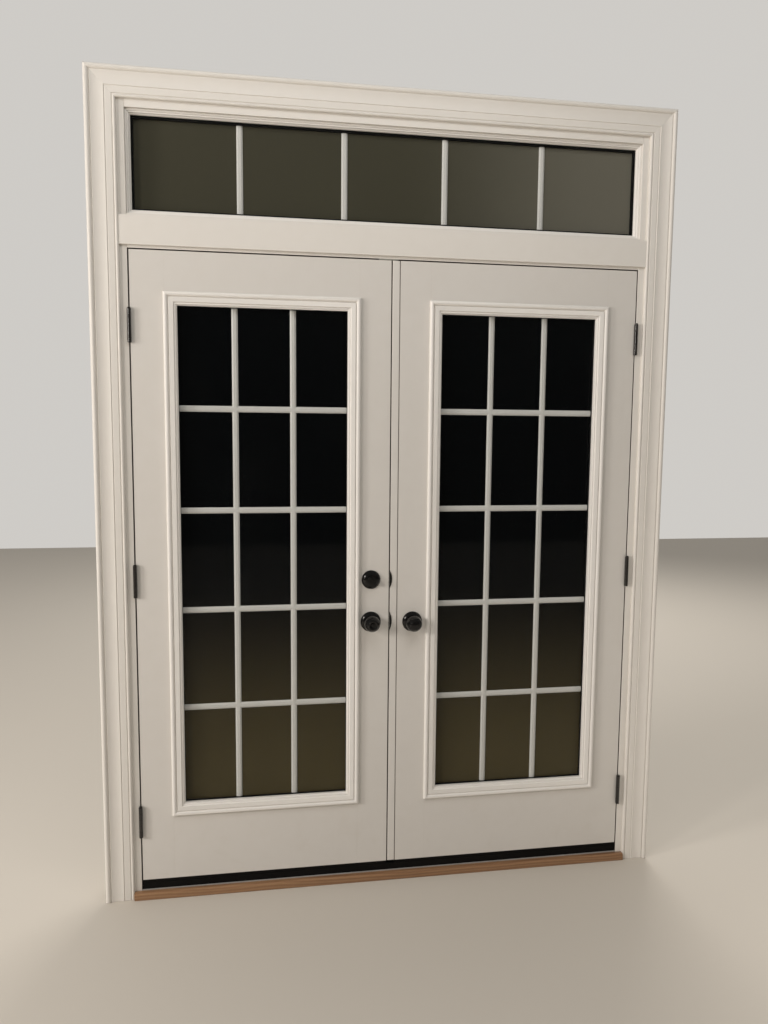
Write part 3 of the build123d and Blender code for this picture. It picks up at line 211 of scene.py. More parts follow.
class Graph:
    """A node tree that is written as Python expressions."""

    def __init__(self, tree: bpy.types.NodeTree) -> None:
        """Starts on an empty tree."""
        self.tree = tree
        tree.nodes.clear()

    def node(
        self,
        kind: str,
        settings: dict[str, Any] | None = None,
        inputs: dict[str, Any] | None = None,
    ) -> bpy.types.Node:
        """Adds a node of any type.

        Args:
            kind: The node's type.
            settings: Its own settings, which are set first; "stops" are a colour ramp's places and colours.
            inputs: Values or links by a socket's identifier or name.

        Returns:
            The node.
        """
        node = self.tree.nodes.new(kind)
        for key, value in (settings or {}).items():
            if key == "stops":
                self._set_stops(node.color_ramp, value)
            else:
                setattr(node, key, value)
        for key, value in (inputs or {}).items():
            self.feed(self._input(node, key), value)
        return node

    @staticmethod
    def _set_stops(ramp: bpy.types.ColorRamp, stops: Sequence[tuple[float, Colour]]) -> None:
        """Gives a colour ramp its stops.

        Args:
            ramp: The ramp.
            stops: Each stop's place and colour.
        """
        while len(ramp.elements) < len(stops):
            ramp.elements.new(1.0)
        for element, (place, colour) in zip(ramp.elements, stops):
            element.position = place
            element.color = (*colour, 1.0)

    @staticmethod
    def _input(node: bpy.types.Node, key: str) -> bpy.types.NodeSocket:
        """Finds a node's input.

        Args:
            node: The node.
            key: The input's identifier, or else its name.

        Returns:
            The input.
        """
        for socket in node.inputs:
            if socket.identifier == key:
                return socket
        for socket in node.inputs:
            if socket.name == key and socket.enabled:
                return socket
        raise KeyError(f"{node.bl_idname} has no input {key}")

    def feed(self, socket: bpy.types.NodeSocket, value: Any) -> None:
        """Feeds an input.

        Args:
            socket: The input.
            value: A socket or a list of them to link, or else a value to set.
        """
        if isinstance(value, list):
            for each in value:
                self.feed(socket, each)
        elif isinstance(value, Value):
            self.tree.links.new(value.socket, socket)
        elif isinstance(value, bpy.types.NodeSocket):
            self.tree.links.new(value, socket)
        else:
            socket.default_value = value

    def blend(self, factor: Number, first: Any, second: Any) -> bpy.types.NodeSocket:
        """Mixes two colours.

        Args:
            factor: The second one's share.
            first: A colour, or the socket that gives one.
            second: The same.

        Returns:
            The colour between them.
        """
        ends = [(*end, 1.0) if isinstance(end, tuple) else end for end in (first, second)]
        node = self.node(
            "ShaderNodeMix",
            {"data_type": "RGBA"},
            {"Factor_Float": factor, "A_Color": ends[0], "B_Color": ends[1]},
        )
        return node.outputs[2]


class Material(Graph):
    """A material's graph, with the patterns that the finishes share."""

    def __init__(self, name: str) -> None:
        """Starts a material.

        Args:
            name: Its name.
        """
        self.material = bpy.data.materials.new(name)
        self.material.use_nodes = True
        super().__init__(self.material.node_tree)
        self.place = self.node("ShaderNodeTexCoord").outputs["Object"]

    def axis(self, name: str) -> Value:
        """Returns the place along X, Y or Z."""
        split = self.node("ShaderNodeSeparateXYZ", inputs={"Vector": self.place})
        return Value(self, split.outputs[name])

    def noise(
        self,
        scale: float,
        detail: float = 2.0,
        stretch: Sequence[float] = (1.0, 1.0, 1.0),
        distortion: float = 0.0,
    ) -> Value:
        """Adds a noise.

        Args:
            scale: How many waves it has to the metre.
            detail: How many finer layers it has.
            stretch: How much finer it is along X, Y and Z.
            distortion: How far it swirls.

        Returns:
            The noise, from about 0 to 1.
        """
        mapped = self.node("ShaderNodeMapping", inputs={"Vector": self.place, "Scale": tuple(stretch)})
        waves = {"Scale": scale, "Detail": detail, "Distortion": distortion}
        noise = self.node("ShaderNodeTexNoise", inputs={"Vector": mapped.outputs[0], **waves})
        return Value(self, noise.outputs[0])

    def ramp(self, factor: Value, stops: Sequence[tuple[float, Colour]]) -> bpy.types.NodeSocket:
        """Returns a colour that runs through the stops."""
        return self.node("ShaderNodeValToRGB", {"stops": stops}, {"Fac": factor}).outputs[0]

    def bump(self, height: Value, distance: float) -> bpy.types.NodeSocket:
        """Returns a normal that follows a height, which is 0 to 1 over the distance."""
        return self.node("ShaderNodeBump", inputs={"Height": height, "Distance": distance}).outputs[0]

    def surface(self, **inputs: Any) -> bpy.types.Material:
        """Ends the graph in one surface.

        Args:
            **inputs: The surface's inputs, with _ for a space in a name.

        Returns:
            The material.
        """
        named = {key.replace("_", " "): value for key, value in inputs.items()}
        shader = self.node("ShaderNodeBsdfPrincipled", inputs=named)
        self.node("ShaderNodeOutputMaterial", inputs={"Surface": shader.outputs[0]})
        return self.material


def around(centre: float, pattern: Value, spread: float) -> Value:
    """Returns a number that a pattern of about 0 to 1 spreads about a centre."""
    return pattern * spread + (centre - spread / 2)


# Finishes


@dataclass(frozen=True)
class Paint:
    """Semi-gloss paint on timber, with faint brush or roller marks and a little soiling low down.

    It darkens the edges that face into the gaps round the leaves, a painted shade that makes the gaps read
    dark: planes along X, as far up as a given top, planes along Z, and the bevelled lock edge, given as (x,
    y) at its two corners. A seam gets a dark line of painted shade as well.
    """

    name: str
    colour: Colour = (0.80, 0.765, 0.715)
    shade: Colour = (0.735, 0.69, 0.63)
    run: Run = Run.ROLLED
    roughness: float = 0.36
    roughness_spread: float = 0.08
    marks_depth: float = 0.00004
    mottling: float = 0.32
    soiling: float = 0.4
    soiling_top: float = 0.45
    soiling_roughness: float = 0.12
    joint_lines: tuple[float, ...] = ()
    joint_half_width: float = 0.0011
    joint_depth: float = 0.00022
    joint_shade: float = 0.35
    # a dark line of painted shade runs along this seam
    seam: float | None = None
    seam_half_width: float = 0.0017
    seam_core: float = 0.3
    seam_shade_colour: Colour = (0.075, 0.050, 0.036)
    # the edges below get painted shade, dark lines where they face into the gaps round the leaves
    gap_shade_x: tuple[float, ...] = ()
    gap_shade_z: tuple[float, ...] = ()
    gap_shade_top: float | None = None
    lock_edge: tuple[Point, Point] | None = None
    gap_shade_reach: float = 0.0008
    gap_shade_core: float = 0.6
    gap_shade_colour: Colour = (0.060, 0.038, 0.027)
    shade_line_strength: float = 0.95

    def make(self) -> bpy.types.Material:
        """Makes the paint.

        Returns:
            The material.
        """
        graph = Material(self.name)
        mottle = graph.noise(scale=2.2, detail=3.0) * 0.5 + graph.noise(scale=26.0) * 0.5
        low = 1 - graph.axis("Z").rise(0.0, self.soiling_top)
        soiled = low * graph.noise(scale=14.0, detail=5.0, distortion=0.6).rise(0.52, 0.78)
        tone = mottle.rise(0.25, 0.85) * self.mottling + soiled * self.soiling
        marks = graph.noise(scale=22.0, detail=3.0, stretch=self.run.value)
        height = marks * self.marks_depth
        for line in self.joint_lines:
            groove = abs(graph.axis("X") - line).rise(0.0, self.joint_half_width)
            height = height + groove * self.joint_depth
            tone = tone + (1 - groove) * self.joint_shade
        colour = graph.blend(tone, self.colour, self.shade)
        # painted shade in the seam between the astragal and the slab: a dark line along it
        if self.seam is not None:
            distance = abs(graph.axis("X") - self.seam)
            line = 1 - distance.rise(self.seam_half_width * self.seam_core, self.seam_half_width)
            colour = graph.blend(line * self.shade_line_strength, colour, self.seam_shade_colour)
        # painted shade in the gaps round the leaves: a dark line along each edge that faces into them
        for distance in self.gap_shade_distances(graph):
            line = 1 - distance.rise(self.gap_shade_reach * self.gap_shade_core, self.gap_shade_reach)
            colour = graph.blend(line * self.shade_line_strength, colour, self.gap_shade_colour)
        roughness = around(self.roughness, marks, self.roughness_spread)
        return graph.surface(
            Base_Color=colour,
            Roughness=roughness + soiled * self.soiling_roughness,
            Normal=graph.bump(height, 1.0),
        )

    def gap_shade_distances(self, graph: Material) -> list[Value]:
        """Measures how far a place is from the edges that get painted shade.

        Args:
            graph: The paint's graph.

        Returns:
            The distances.
        """
        distances = [abs(graph.axis("X") - edge) for edge in self.gap_shade_x]
        if self.gap_shade_top is not None:
            distances = [each + (graph.axis("Z") - self.gap_shade_top).larger(0.0) for each in distances]
        distances += [abs(graph.axis("Z") - edge) for edge in self.gap_shade_z]
        if self.lock_edge:
            (near_x, near_y), (far_x, far_y) = self.lock_edge
            drawn_back = (graph.axis("Y") - near_y) * ((far_x - near_x) / (far_y - near_y))
            distances.append(abs(graph.axis("X") - near_x - drawn_back))
        return distances


@dataclass(frozen=True)
class Bronze:
    """A dark satin bronze that shows brown and smoother where hands rub it."""

    name: str
    colour: Colour = (0.0040, 0.0037, 0.0037)
    rubbed: Colour = (0.016, 0.010, 0.007)
    rubbing: float = 0.6
    roughness: float = 0.16
    patch_roughness: float = 0.10
    rubbed_smoothness: float = 0.06
    metallic: float = 0.15
    specular: float = 0.5
    relief: float = 0.00002

    def make(self) -> bpy.types.Material:
        """Makes the metal.

        Returns:
            The material.
        """
        graph = Material(self.name)
        patches = graph.noise(scale=45.0, detail=4.0, distortion=0.4)
        rubbed = patches.rise(0.54, 0.8)
        return graph.surface(
            Base_Color=graph.blend(rubbed * self.rubbing, self.colour, self.rubbed),
            Metallic=self.metallic,
            Specular_IOR_Level=self.specular,
            Roughness=self.roughness + patches * self.patch_roughness - rubbed * self.rubbed_smoothness,
            Normal=graph.bump(graph.noise(scale=1400.0), self.relief),
        )


@dataclass(frozen=True)
class ClearGlass:
    """A clear pane with a faint film on it."""

    name: str
    tint: Colour = (0.004, 0.005, 0.005)
    film: Colour = (0.024, 0.025, 0.024)
    film_strength: float = 0.4
    alpha: float = 0.10
    alpha_spread: float = 0.03
    roughness: float = 0.015
    film_roughness: float = 0.02

    def make(self) -> bpy.types.Material:
        """Makes the glass.

        Returns:
            The material.
        """
        graph = Material(self.name)
        film = graph.noise(scale=3.0, detail=3.0)
        return graph.surface(
            Base_Color=graph.blend(film.rise(0.5, 0.8) * self.film_strength, self.tint, self.film),
            Roughness=film * self.film_roughness + self.roughness,
            Alpha=around(self.alpha, film, self.alpha_spread),
        )


@dataclass(frozen=True)
class PaintedNight:
    """A painted dark sheet that stands for the dark outdoors behind a glass, with a painted glow, a paler
    olive tone, rising from one end to the other.
    """

    name: str
    axis: str
    dark_end: float
    glow_end: float
    dark: Colour = (0.0012, 0.0016, 0.0022)
    pale: Colour = (0.098, 0.080, 0.038)
    drift_spread: float = 0.5
    specular: float = 0.15
    roughness: float = 0.03
    drift_roughness: float = 0.02

    def make(self) -> bpy.types.Material:
        """Makes the painted dark film with its painted glow.

        Returns:
            The material.
        """
        graph = Material(self.name)
        share = graph.axis(self.axis).rise(*sorted((self.dark_end, self.glow_end)))
        glow_share = share if self.glow_end > self.dark_end else 1 - share
        drift = graph.noise(scale=1.3)
        return graph.surface(
            Base_Color=graph.blend(glow_share * around(1.0, drift, self.drift_spread), self.dark, self.pale),
            Roughness=drift * self.drift_roughness + self.roughness,
            Specular_IOR_Level=self.specular,
        )


@dataclass(frozen=True)
class Enamel:
    """Baked white enamel on the bars between the panes."""

    name: str
    colour: Colour = (0.88, 0.88, 0.84)
    shade: Colour = (0.80, 0.80, 0.76)
    shading: float = 0.25
    roughness: float = 0.3
    drift_roughness: float = 0.08
    relief: float = 0.00003

    def make(self) -> bpy.types.Material:
        """Makes the enamel.

        Returns:
            The material.
        """
        graph = Material(self.name)
        drift = graph.noise(scale=5.0)
        return graph.surface(
            Base_Color=graph.blend(drift * self.shading, self.colour, self.shade),
            Roughness=drift * self.drift_roughness + self.roughness,
            Normal=graph.bump(graph.noise(scale=380.0), self.relief),
        )


@dataclass(frozen=True)
class Soft:
    """A matt polymer: the seals, the spacers, the cap and the sill's base."""

    name: str
    colour: Colour
    dust: Colour
    roughness: float = 0.7
    grain: float = 260.0
    relief: float = 0.00008
    dusting: float = 0.3
    specular: float = 0.3
    roughness_spread: float = 0.12
    dust_roughness: float = 0.08

    def make(self) -> bpy.types.Material:
        """Makes the polymer.

        Returns:
            The material.
        """
        graph = Material(self.name)
        grain = graph.noise(scale=self.grain, detail=3.0)
        settled = graph.noise(scale=9.0, detail=4.0, distortion=0.3).rise(0.42, 0.75)
        return graph.surface(
            Base_Color=graph.blend(settled * self.dusting, self.colour, self.dust),
            Roughness=around(self.roughness, grain, self.roughness_spread) + settled * self.dust_roughness,
            Specular_IOR_Level=self.specular,
            Normal=graph.bump(grain, self.relief),
        )


@dataclass(frozen=True)
class MillAluminium:
    """Extruded aluminium with die lines along X, dull and scuffed where it is trodden."""

    name: str
    colour: Colour = (0.74, 0.73, 0.71)
    dull: Colour = (0.46, 0.44, 0.41)
    trodden_dulling: float = 0.45
    line_dulling: float = 0.25
    metallic: float = 0.6
    roughness: float = 0.28
    trodden_roughness: float = 0.2
    line_roughness: float = 0.1
    relief: float = 0.00006

    def make(self) -> bpy.types.Material:
        """Makes the aluminium.

        Returns:
            The material.
        """
        graph = Material(self.name)
        lines = graph.noise(scale=90.0, detail=3.0, stretch=(0.02, 8.0, 8.0))
        scuffs = graph.noise(scale=16.0, detail=6.0, stretch=(0.4, 1.0, 1.0), distortion=0.3)
        trodden = scuffs.rise(0.38, 0.8)
        dulled = trodden * self.trodden_dulling + lines * self.line_dulling
        return graph.surface(
            Base_Color=graph.blend(dulled, self.colour, self.dull),
            Metallic=self.metallic,
            Roughness=trodden * self.trodden_roughness + lines * self.line_roughness + self.roughness,
            Normal=graph.bump(lines, self.relief),
        )


@dataclass(frozen=True)
class Oak:
    """Varnished oak with its grain along X: growth bands, pores and slow drifts of colour."""

    name: str
    light: Colour = (0.36, 0.205, 0.105)
    mid: Colour = (0.275, 0.145, 0.070)
    dark: Colour = (0.145, 0.070, 0.033)
    band_rate: float = 620.0
    band_slant: float = 0.35
    band_wander: float = 26.0
    band_strength: float = 0.3
    drift_strength: float = 0.6
    pore_strength: float = 0.6
    pore_relief: float = 0.00006
    roughness: float = 0.3
    pore_roughness: float = 0.2
    varnish: float = 0.35
    varnish_roughness: float = 0.18

    def make(self) -> bpy.types.Material:
        """Makes the oak.

        Returns:
            The material.
        """
        graph = Material(self.name)
        warp = graph.noise(scale=5.0, stretch=(0.35, 1.0, 1.0))
        across = graph.axis("Z") + graph.axis("Y") * self.band_slant
        bands = ((across * self.band_rate + warp * self.band_wander).wave() + 1) * 0.5
        pores = graph.noise(scale=60.0, detail=4.0, stretch=(1.0, 34.0, 34.0)).rise(0.56, 0.72)
        drift = graph.noise(scale=3.0, stretch=(0.5, 2.0, 2.0))
        tone = bands * self.band_strength + drift * self.drift_strength
        grained = graph.ramp(tone, ((0.2, self.light), (0.55, self.mid), (0.95, self.dark)))
        return graph.surface(
            Base_Color=graph.blend(pores * self.pore_strength, grained, self.dark),
            Roughness=pores * self.pore_roughness + self.roughness,
            Normal=graph.bump(1 - pores, self.pore_relief),
            Coat_Weight=self.varnish,
            Coat_Roughness=self.varnish_roughness,
        )


@dataclass(frozen=True)
class Backdrop:
    """The plain pale floor."""

    name: str
    colour: Colour = (0.63, 0.58, 0.51)
    shade: Colour = (0.57, 0.54, 0.50)
    shading: float = 0.2
    roughness: float = 0.8

    def make(self) -> bpy.types.Material:
        """Makes the floor's finish.

        Returns:
            The material.
        """
        graph = Material(self.name)
        drift = graph.noise(scale=0.8)
        colour = graph.blend(drift * self.shading, self.colour, self.shade)
        return graph.surface(Base_Color=colour, Roughness=self.roughness)


class Finishes:
    """Every finish on the doors, made once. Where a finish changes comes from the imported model."""

    def __init__(self, glow_height: float = 0.45) -> None:
        """Makes the materials.

        Args:
            glow_height: The share of a door glass's height over which the painted glow at its foot fades
                into the painted dark.
        """
        head_low, head_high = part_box("door_head_jamb")
        slab_low, slab_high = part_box("passive_slab")
        astragal_low, astragal_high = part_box("astragal")
        ends = (slab_low.z, slab_high.z)
        rabbets = (head_low.x, head_high.x)
        underside = head_low.z
        # the rabbets, the head's underside and the leaves' edges get painted shade where they face into the
        # gaps, and the astragal's seam a painted shade line
        self.upright = Paint(
            "paint_upright", run=Run.ALONG_Z, gap_shade_x=rabbets, gap_shade_top=underside
        ).make()
        self.level = Paint("paint_level", run=Run.ALONG_X, gap_shade_z=(underside,)).make()
        self.leaf = Paint(
            "paint_leaf",
            colour=(0.715, 0.685, 0.645),
            shade=(0.655, 0.615, 0.560),
            roughness=0.42,
            joint_lines=stile_joints(),
            seam=astragal_high.x,
            gap_shade_x=(-slab_high.x, slab_high.x),
            gap_shade_z=ends,
            lock_edge=lock_edge(),
        ).make()
        self.astragal = Paint(
            "paint_astragal",
            colour=(0.735, 0.705, 0.665),
            shade=(0.675, 0.635, 0.580),
            run=Run.ALONG_Z,
            seam=astragal_high.x,
            gap_shade_x=(astragal_low.x,),
            gap_shade_z=ends,
        ).make()
        self.lite_frame = Paint(
            "paint_lite_frame",
            colour=(0.87, 0.84, 0.80),
            shade=(0.79, 0.75, 0.70),
            roughness=0.3,
            marks_depth=0.00002,
        ).make()
        self.bronze = Bronze("bronze_satin").make()
        self.hinge = Bronze(
            "bronze_hinge", colour=(0.010, 0.008, 0.007), roughness=0.20, specular=0.9
        ).make()
        self.screw = Bronze(
            "bronze_screw",
            colour=(0.030, 0.022, 0.017),
            rubbed=(0.080, 0.055, 0.040),
            roughness=0.28,
            specular=0.9,
        ).make()
        self.glass = ClearGlass("glass_clear").make()
        # painted dark films for the glass, with a painted glow rising towards the door glass's foot and
        # towards the transom's right end
        glass_low, glass_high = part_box("active_panes")
        night_from = glass_low.z + glow_height * (glass_high.z - glass_low.z)
        self.painted_night = PaintedNight("painted_night_door", "Z", dark_end=night_from, glow_end=glass_low.z).make()
        transom_low, transom_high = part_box("transom_panes")
        self.painted_dusk = PaintedNight(
            "painted_night_transom",
            "X",
            dark_end=(transom_low.x + transom_high.x) / 2,
            glow_end=transom_high.x,
            dark=(0.080, 0.076, 0.052),
            pale=(0.215, 0.205, 0.165),
        ).make()
        self.enamel = Enamel("enamel_white").make()
        self.spacer = Soft("foam_black", (0.006, 0.006, 0.006), (0.02, 0.02, 0.02), 0.8).make()
        self.seal = Soft("seal_brown", (0.045, 0.032, 0.026), (0.10, 0.085, 0.07), 0.65).make()
        self.pad = Soft(
            "pad_pale", (0.55, 0.55, 0.50), (0.38, 0.37, 0.33), 0.85, grain=900.0, relief=0.0002
        ).make()
        clean = {"dusting": 0.15, "specular": 0.16}
        self.cap = Soft("cap_black", (0.0030, 0.0030, 0.0032), (0.022, 0.020, 0.018), 0.5, **clean).make()
        self.sweep = Soft(
            "sweep_black", (0.0035, 0.0033, 0.0033), (0.018, 0.016, 0.014), 0.65, **clean
        ).make()
        self.base = Soft("composite_grey", (0.22, 0.20, 0.18), (0.34, 0.31, 0.27), 0.8).make()
        self.deck = MillAluminium("aluminium_mill").make()
        self.oak = Oak("oak_varnished").make()


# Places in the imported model


def packed_points(node: str) -> list[Vector]:
    """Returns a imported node's vertices."""
    return [vertex.co for vertex in bpy.data.objects[node].data.vertices]


def lock_edge() -> tuple[Point, Point]:
    """Finds the active leaf's bevelled lock edge.

    Returns:
        Its (x, y) on the leaf's indoor face and on its outdoor face.
    """
    corners = []
    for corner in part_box("active_slab"):
        on_face = [point.x for point in packed_points("active_slab") if abs(point.y - corner.y) < ON_PLANE]
        corners.append((max(on_face), corner.y))
    return corners[0], corners[1]


def stile_joints(inside: float = 0.004) -> tuple[float, ...]:
    """Finds where the leaves' stiles meet their rails.

    Args:
        inside: How far the joints lie inside the lite frames' outer edges.

    Returns:
        The joints' places along X.
    """
    places = []
    for node in ("active_lite_frame_indoor", "passive_lite_frame_indoor"):
        low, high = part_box(node)
        places += [low.x + inside, high.x - inside]
    return tuple(places)


# Meshes


def arc(start: Point, through: Point, end: Point, steps: int = ARC_STEPS) -> list[Point]:
    """Draws an arc through three points.

    Args:
        start: Where it starts.
        through: A point that it passes.
        end: Where it ends.
        steps: How many straight steps stand for it.

    Returns:
        Its points, both ends included.
    """
    (ax, ay), (bx, by), (cx, cy) = start, through, end
    twice_area = 2 * (ax * (by - cy) + bx * (cy - ay) + cx * (ay - by))
    a2, b2, c2 = ax * ax + ay * ay, bx * bx + by * by, cx * cx + cy * cy
    ux = (a2 * (by - cy) + b2 * (cy - ay) + c2 * (ay - by)) / twice_area
    uy = (a2 * (cx - bx) + b2 * (ax - cx) + c2 * (bx - ax)) / twice_area
    radius = math.hypot(ax - ux, ay - uy)
    first = math.atan2(ay - uy, ax - ux)
    middle = (math.atan2(by - uy, bx - ux) - first) % math.tau
    last = (math.atan2(cy - uy, cx - ux) - first) % math.tau
    if middle > last:
        last -= math.tau
    angles = [first + last * i / steps for i in range(steps + 1)]
    return [(ux + radius * math.cos(angle), uy + radius * math.sin(angle)) for angle in angles]


class Piece:
    """One mesh in the making, which ends as an object at the origin."""

    def __init__(self, name: str) -> None:
        """Starts an empty mesh."""
        self.name = name
        self.mesh = bmesh.new()

    def loft(self, rings: Sequence[Sequence[Vector]], closed: bool = False) -> Piece:
        """Joins sections of equally many points, end to end.

        Args:
            rings: The sections, each a closed loop of points.
            closed: Whether the last joins the first; otherwise both ends are capped.

        Returns:
            This piece.
        """
        loops = [[self.mesh.verts.new(point) for point in ring] for ring in rings]
        followers = loops[1:] + loops[:1] if closed else loops[1:]
        for near, far in zip(loops, followers):
            for i in range(len(near)):
                j = (i + 1) % len(near)
                self.mesh.faces.new((near[i], near[j], far[j], far[i]))
        if not closed:
            self.mesh.faces.new(loops[0])
            self.mesh.faces.new(reversed(loops[-1]))
        return self

    def block(self, low: Vector, high: Vector) -> Piece:
        """Adds a box between two corners."""
        corners = ((low.x, low.y), (high.x, low.y), (high.x, high.y), (low.x, high.y))
        return self.loft([[Vector((x, y, z)) for x, y in corners] for z in (low.z, high.z)])

    def done(self, material: bpy.types.Material, arris: float = 0.0) -> bpy.types.Object:
        """Ends the mesh.

        Args:
            material: Its finish.
            arris: The width that its sharp edges are eased by.

        Returns:
            The object.
        """
        bmesh.ops.remove_doubles(self.mesh, verts=self.mesh.verts, dist=MERGE_DISTANCE)
        bmesh.ops.recalc_face_normals(self.mesh, faces=self.mesh.faces)
        return shown(self.name, self.mesh, material, arris)


def shown(
    name: str, mesh: bmesh.types.BMesh, material: bpy.types.Material, arris: float, segments: int = 2
) -> bpy.types.Object:
    """Shows a mesh as an object, smooth but for its sharp edges.

    Args:
        name: The object's name.
        mesh: The mesh, which is used up.
        material: Its finish.
        arris: The width that its sharp edges are eased by, or 0 to leave them.
        segments: The facets across each eased edge.

    Returns:
        The object.
    """
    data = bpy.data.meshes.new(name)
    mesh.to_mesh(data)
    mesh.free()
    data.shade_smooth()
    data.set_sharp_from_angle(angle=SHARP_ANGLE)
    data.materials.append(material)
    piece = bpy.data.objects.new(name, data)
    bpy.context.scene.collection.objects.link(piece)
    if arris:
        bevel = piece.modifiers.new("eased_edges", "BEVEL")
        bevel.width = arris
        bevel.segments = segments
        bevel.limit_method = "ANGLE"
        bevel.angle_limit = SHARP_ANGLE
        piece.modifiers.new("even_faces", "WEIGHTED_NORMAL").keep_sharp = True
    return piece


class Model:
    """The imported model, and the ways in which a new piece takes its place in it."""

    def __init__(self, nodes: dict[str, bpy.types.Object]) -> None:
        """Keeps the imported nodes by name."""
        self.nodes = nodes

    def body(self, node: str) -> str:
        """Returns the body that a node belongs to."""
        return self.nodes[node]["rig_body"]

    def dress(self, node: str, material: bpy.types.Material) -> None:
        """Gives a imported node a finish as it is.

        Args:
            node: The node.
            material: The finish.
        """
        slots = self.nodes[node].data.materials
        slots.clear()
        slots.append(material)
        log.info("dressed %s", node)

    def replace(self, piece: bpy.types.Object, node: str, slot: Slot) -> None:
        """Puts a piece in a node's place.

        Args:
            piece: The piece.
            node: The node.
            slot: The record's slot; not used.
        """
        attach(piece, self.body(node))
        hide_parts(node)
        log.info("built %s for %s", piece.name, node)

    def add(self, piece: bpy.types.Object, body: str, slot: Slot) -> None:
        """Adds a piece that no node stands for.

        Args:
            piece: The piece.
            body: The body that it rides on.
            slot: The record's slot; not used.
        """
        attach(piece, body)
        log.info("added %s on %s", piece.name, body)

    def soften(
        self,
        nodes: Iterable[str],
        material: bpy.types.Material,
        slot: Slot,
        arris: float = 0.0,
        segments: int = 2,
        chosen: Callable[[bmesh.types.BMEdge], bool] | None = None,
    ) -> None:
        """Replaces nodes with their own shapes, their curves smooth and their edges eased.

        Args:
            nodes: The nodes.
            material: Their finish.
            slot: The record's slot.
            arris: The width that their sharp edges are eased by.
            segments: The facets across each eased edge.
            chosen: Says which edges are eased, where not all are.
        """
        for node in nodes:
            mesh = bmesh.new()
            mesh.from_mesh(self.nodes[node].data)
            bmesh.ops.remove_doubles(mesh, verts=mesh.verts, dist=MERGE_DISTANCE)
            bmesh.ops.dissolve_limit(
                mesh,
                angle_limit=FLAT_ANGLE,
                use_dissolve_boundaries=False,
                verts=mesh.verts,
                edges=mesh.edges,
            )
            if chosen:
                weight = mesh.edges.layers.float.new("bevel_weight_edge")
                for edge in mesh.edges:
                    edge[weight] = float(chosen(edge))
            piece = shown(node + "_finished", mesh, material, arris, segments)
            if chosen:
                piece.modifiers["eased_edges"].limit_method = "WEIGHT"
                piece.modifiers["eased_edges"].use_clamp_overlap = False
            self.replace(piece, node, slot)


# Repeated pieces


class RepeatTree(Graph):
    """A tree that repeats something, with named inputs, ending in plain geometry with its finish."""

    def __init__(self, name: str, sizes: dict[str, Kind]) -> None:
        """Starts the tree.

        Args:
            name: The tree's name.
            sizes: Each named input's sort.
        """
        super().__init__(bpy.data.node_groups.new(name, "GeometryNodeTree"))
        face = self.tree.interface
        face.new_socket(name="Geometry", in_out="INPUT", socket_type="NodeSocketGeometry")
        face.new_socket(name="Finish", in_out="INPUT", socket_type="NodeSocketMaterial")
        for size, kind in sizes.items():
            face.new_socket(name=size, in_out="INPUT", socket_type=kind.value)
        face.new_socket(name="Geometry", in_out="OUTPUT", socket_type="NodeSocketGeometry")
        self.given = self.node("NodeGroupInput")
        self.source = self.given.outputs["Geometry"]

    def sizes(self, *names: str) -> list[Value]:
        """Returns named inputs."""
        return [Value(self, self.given.outputs[name]) for name in names]

    def vector(self, x: Number = 0.0, y: Number = 0.0, z: Number = 0.0) -> bpy.types.NodeSocket:
        """Returns a vector of three numbers."""
        return self.node("ShaderNodeCombineXYZ", inputs={"X": x, "Y": y, "Z": z}).outputs[0]

    def row(self, count: Number, start: Any, step: Any) -> bpy.types.NodeSocket:
        """Returns that many points in a row, from a start and with a step."""
        inputs = {"Count": count, "Start Location": start, "Offset": step}
        return self.node("GeometryNodeMeshLine", {"mode": "OFFSET"}, inputs).outputs[0]

    def moved(self, thing: Any, by: Any) -> bpy.types.NodeSocket:
        """Returns the thing moved by a vector."""
        return self.node("GeometryNodeTransform", inputs={"Geometry": thing, "Translation": by}).outputs[0]

    def copies(self, points: Any, thing: Any, **turned: Any) -> bpy.types.NodeSocket:
        """Returns the thing at each point, with a Rotation or a Scale where one is given."""
        inputs = {"Points": points, "Instance": thing, **turned}
        return self.node("GeometryNodeInstanceOnPoints", inputs=inputs).outputs[0]

    def joined(self, *parts: Any) -> bpy.types.NodeSocket:
        """Returns the parts as one geometry."""
        return self.node("GeometryNodeJoinGeometry", inputs={"Geometry": list(parts)}).outputs[0]

    def end(self, thing: Any) -> bpy.types.NodeTree:
        """Ends the tree in plain geometry with its finish.

        Args:
            thing: What the tree makes.

        Returns:
            The tree.
        """
        real = self.node("GeometryNodeRealizeInstances", inputs={"Geometry": thing})
        dressed = {"Geometry": real.outputs[0], "Material": self.given.outputs["Finish"]}
        finished = self.node("GeometryNodeSetMaterial", inputs=dressed)
        self.node("NodeGroupOutput", inputs={"Geometry": finished.outputs[0]})
        return self.tree


def grown(
    source: bpy.types.Object, tree: bpy.types.NodeTree, material: bpy.types.Material, **sizes: Any
) -> bpy.types.Object:
    """Runs a tree on an object and leaves the result as its plain mesh.

    Args:
        source: The object that holds what is repeated, or the places.
        tree: The tree.
        material: The finish.
        **sizes: The tree's named inputs, with _ for a space.

    Returns:
        The same object.
    """
    modifier = source.modifiers.new("repeat", "NODES")
    modifier.node_group = tree
    values = {key.replace("_", " "): value for key, value in sizes.items()} | {"Finish": material}
    for item in tree.interface.items_tree:
        if item.in_out == "INPUT" and item.name in values:
            modifier[item.identifier] = values[item.name]
    evaluated = source.evaluated_get(bpy.context.evaluated_depsgraph_get())
    data = bpy.data.meshes.new_from_object(evaluated)
    source.modifiers.clear()
    source.data = data
    data.shade_smooth()
    data.set_sharp_from_angle(angle=SHARP_ANGLE)
    return source


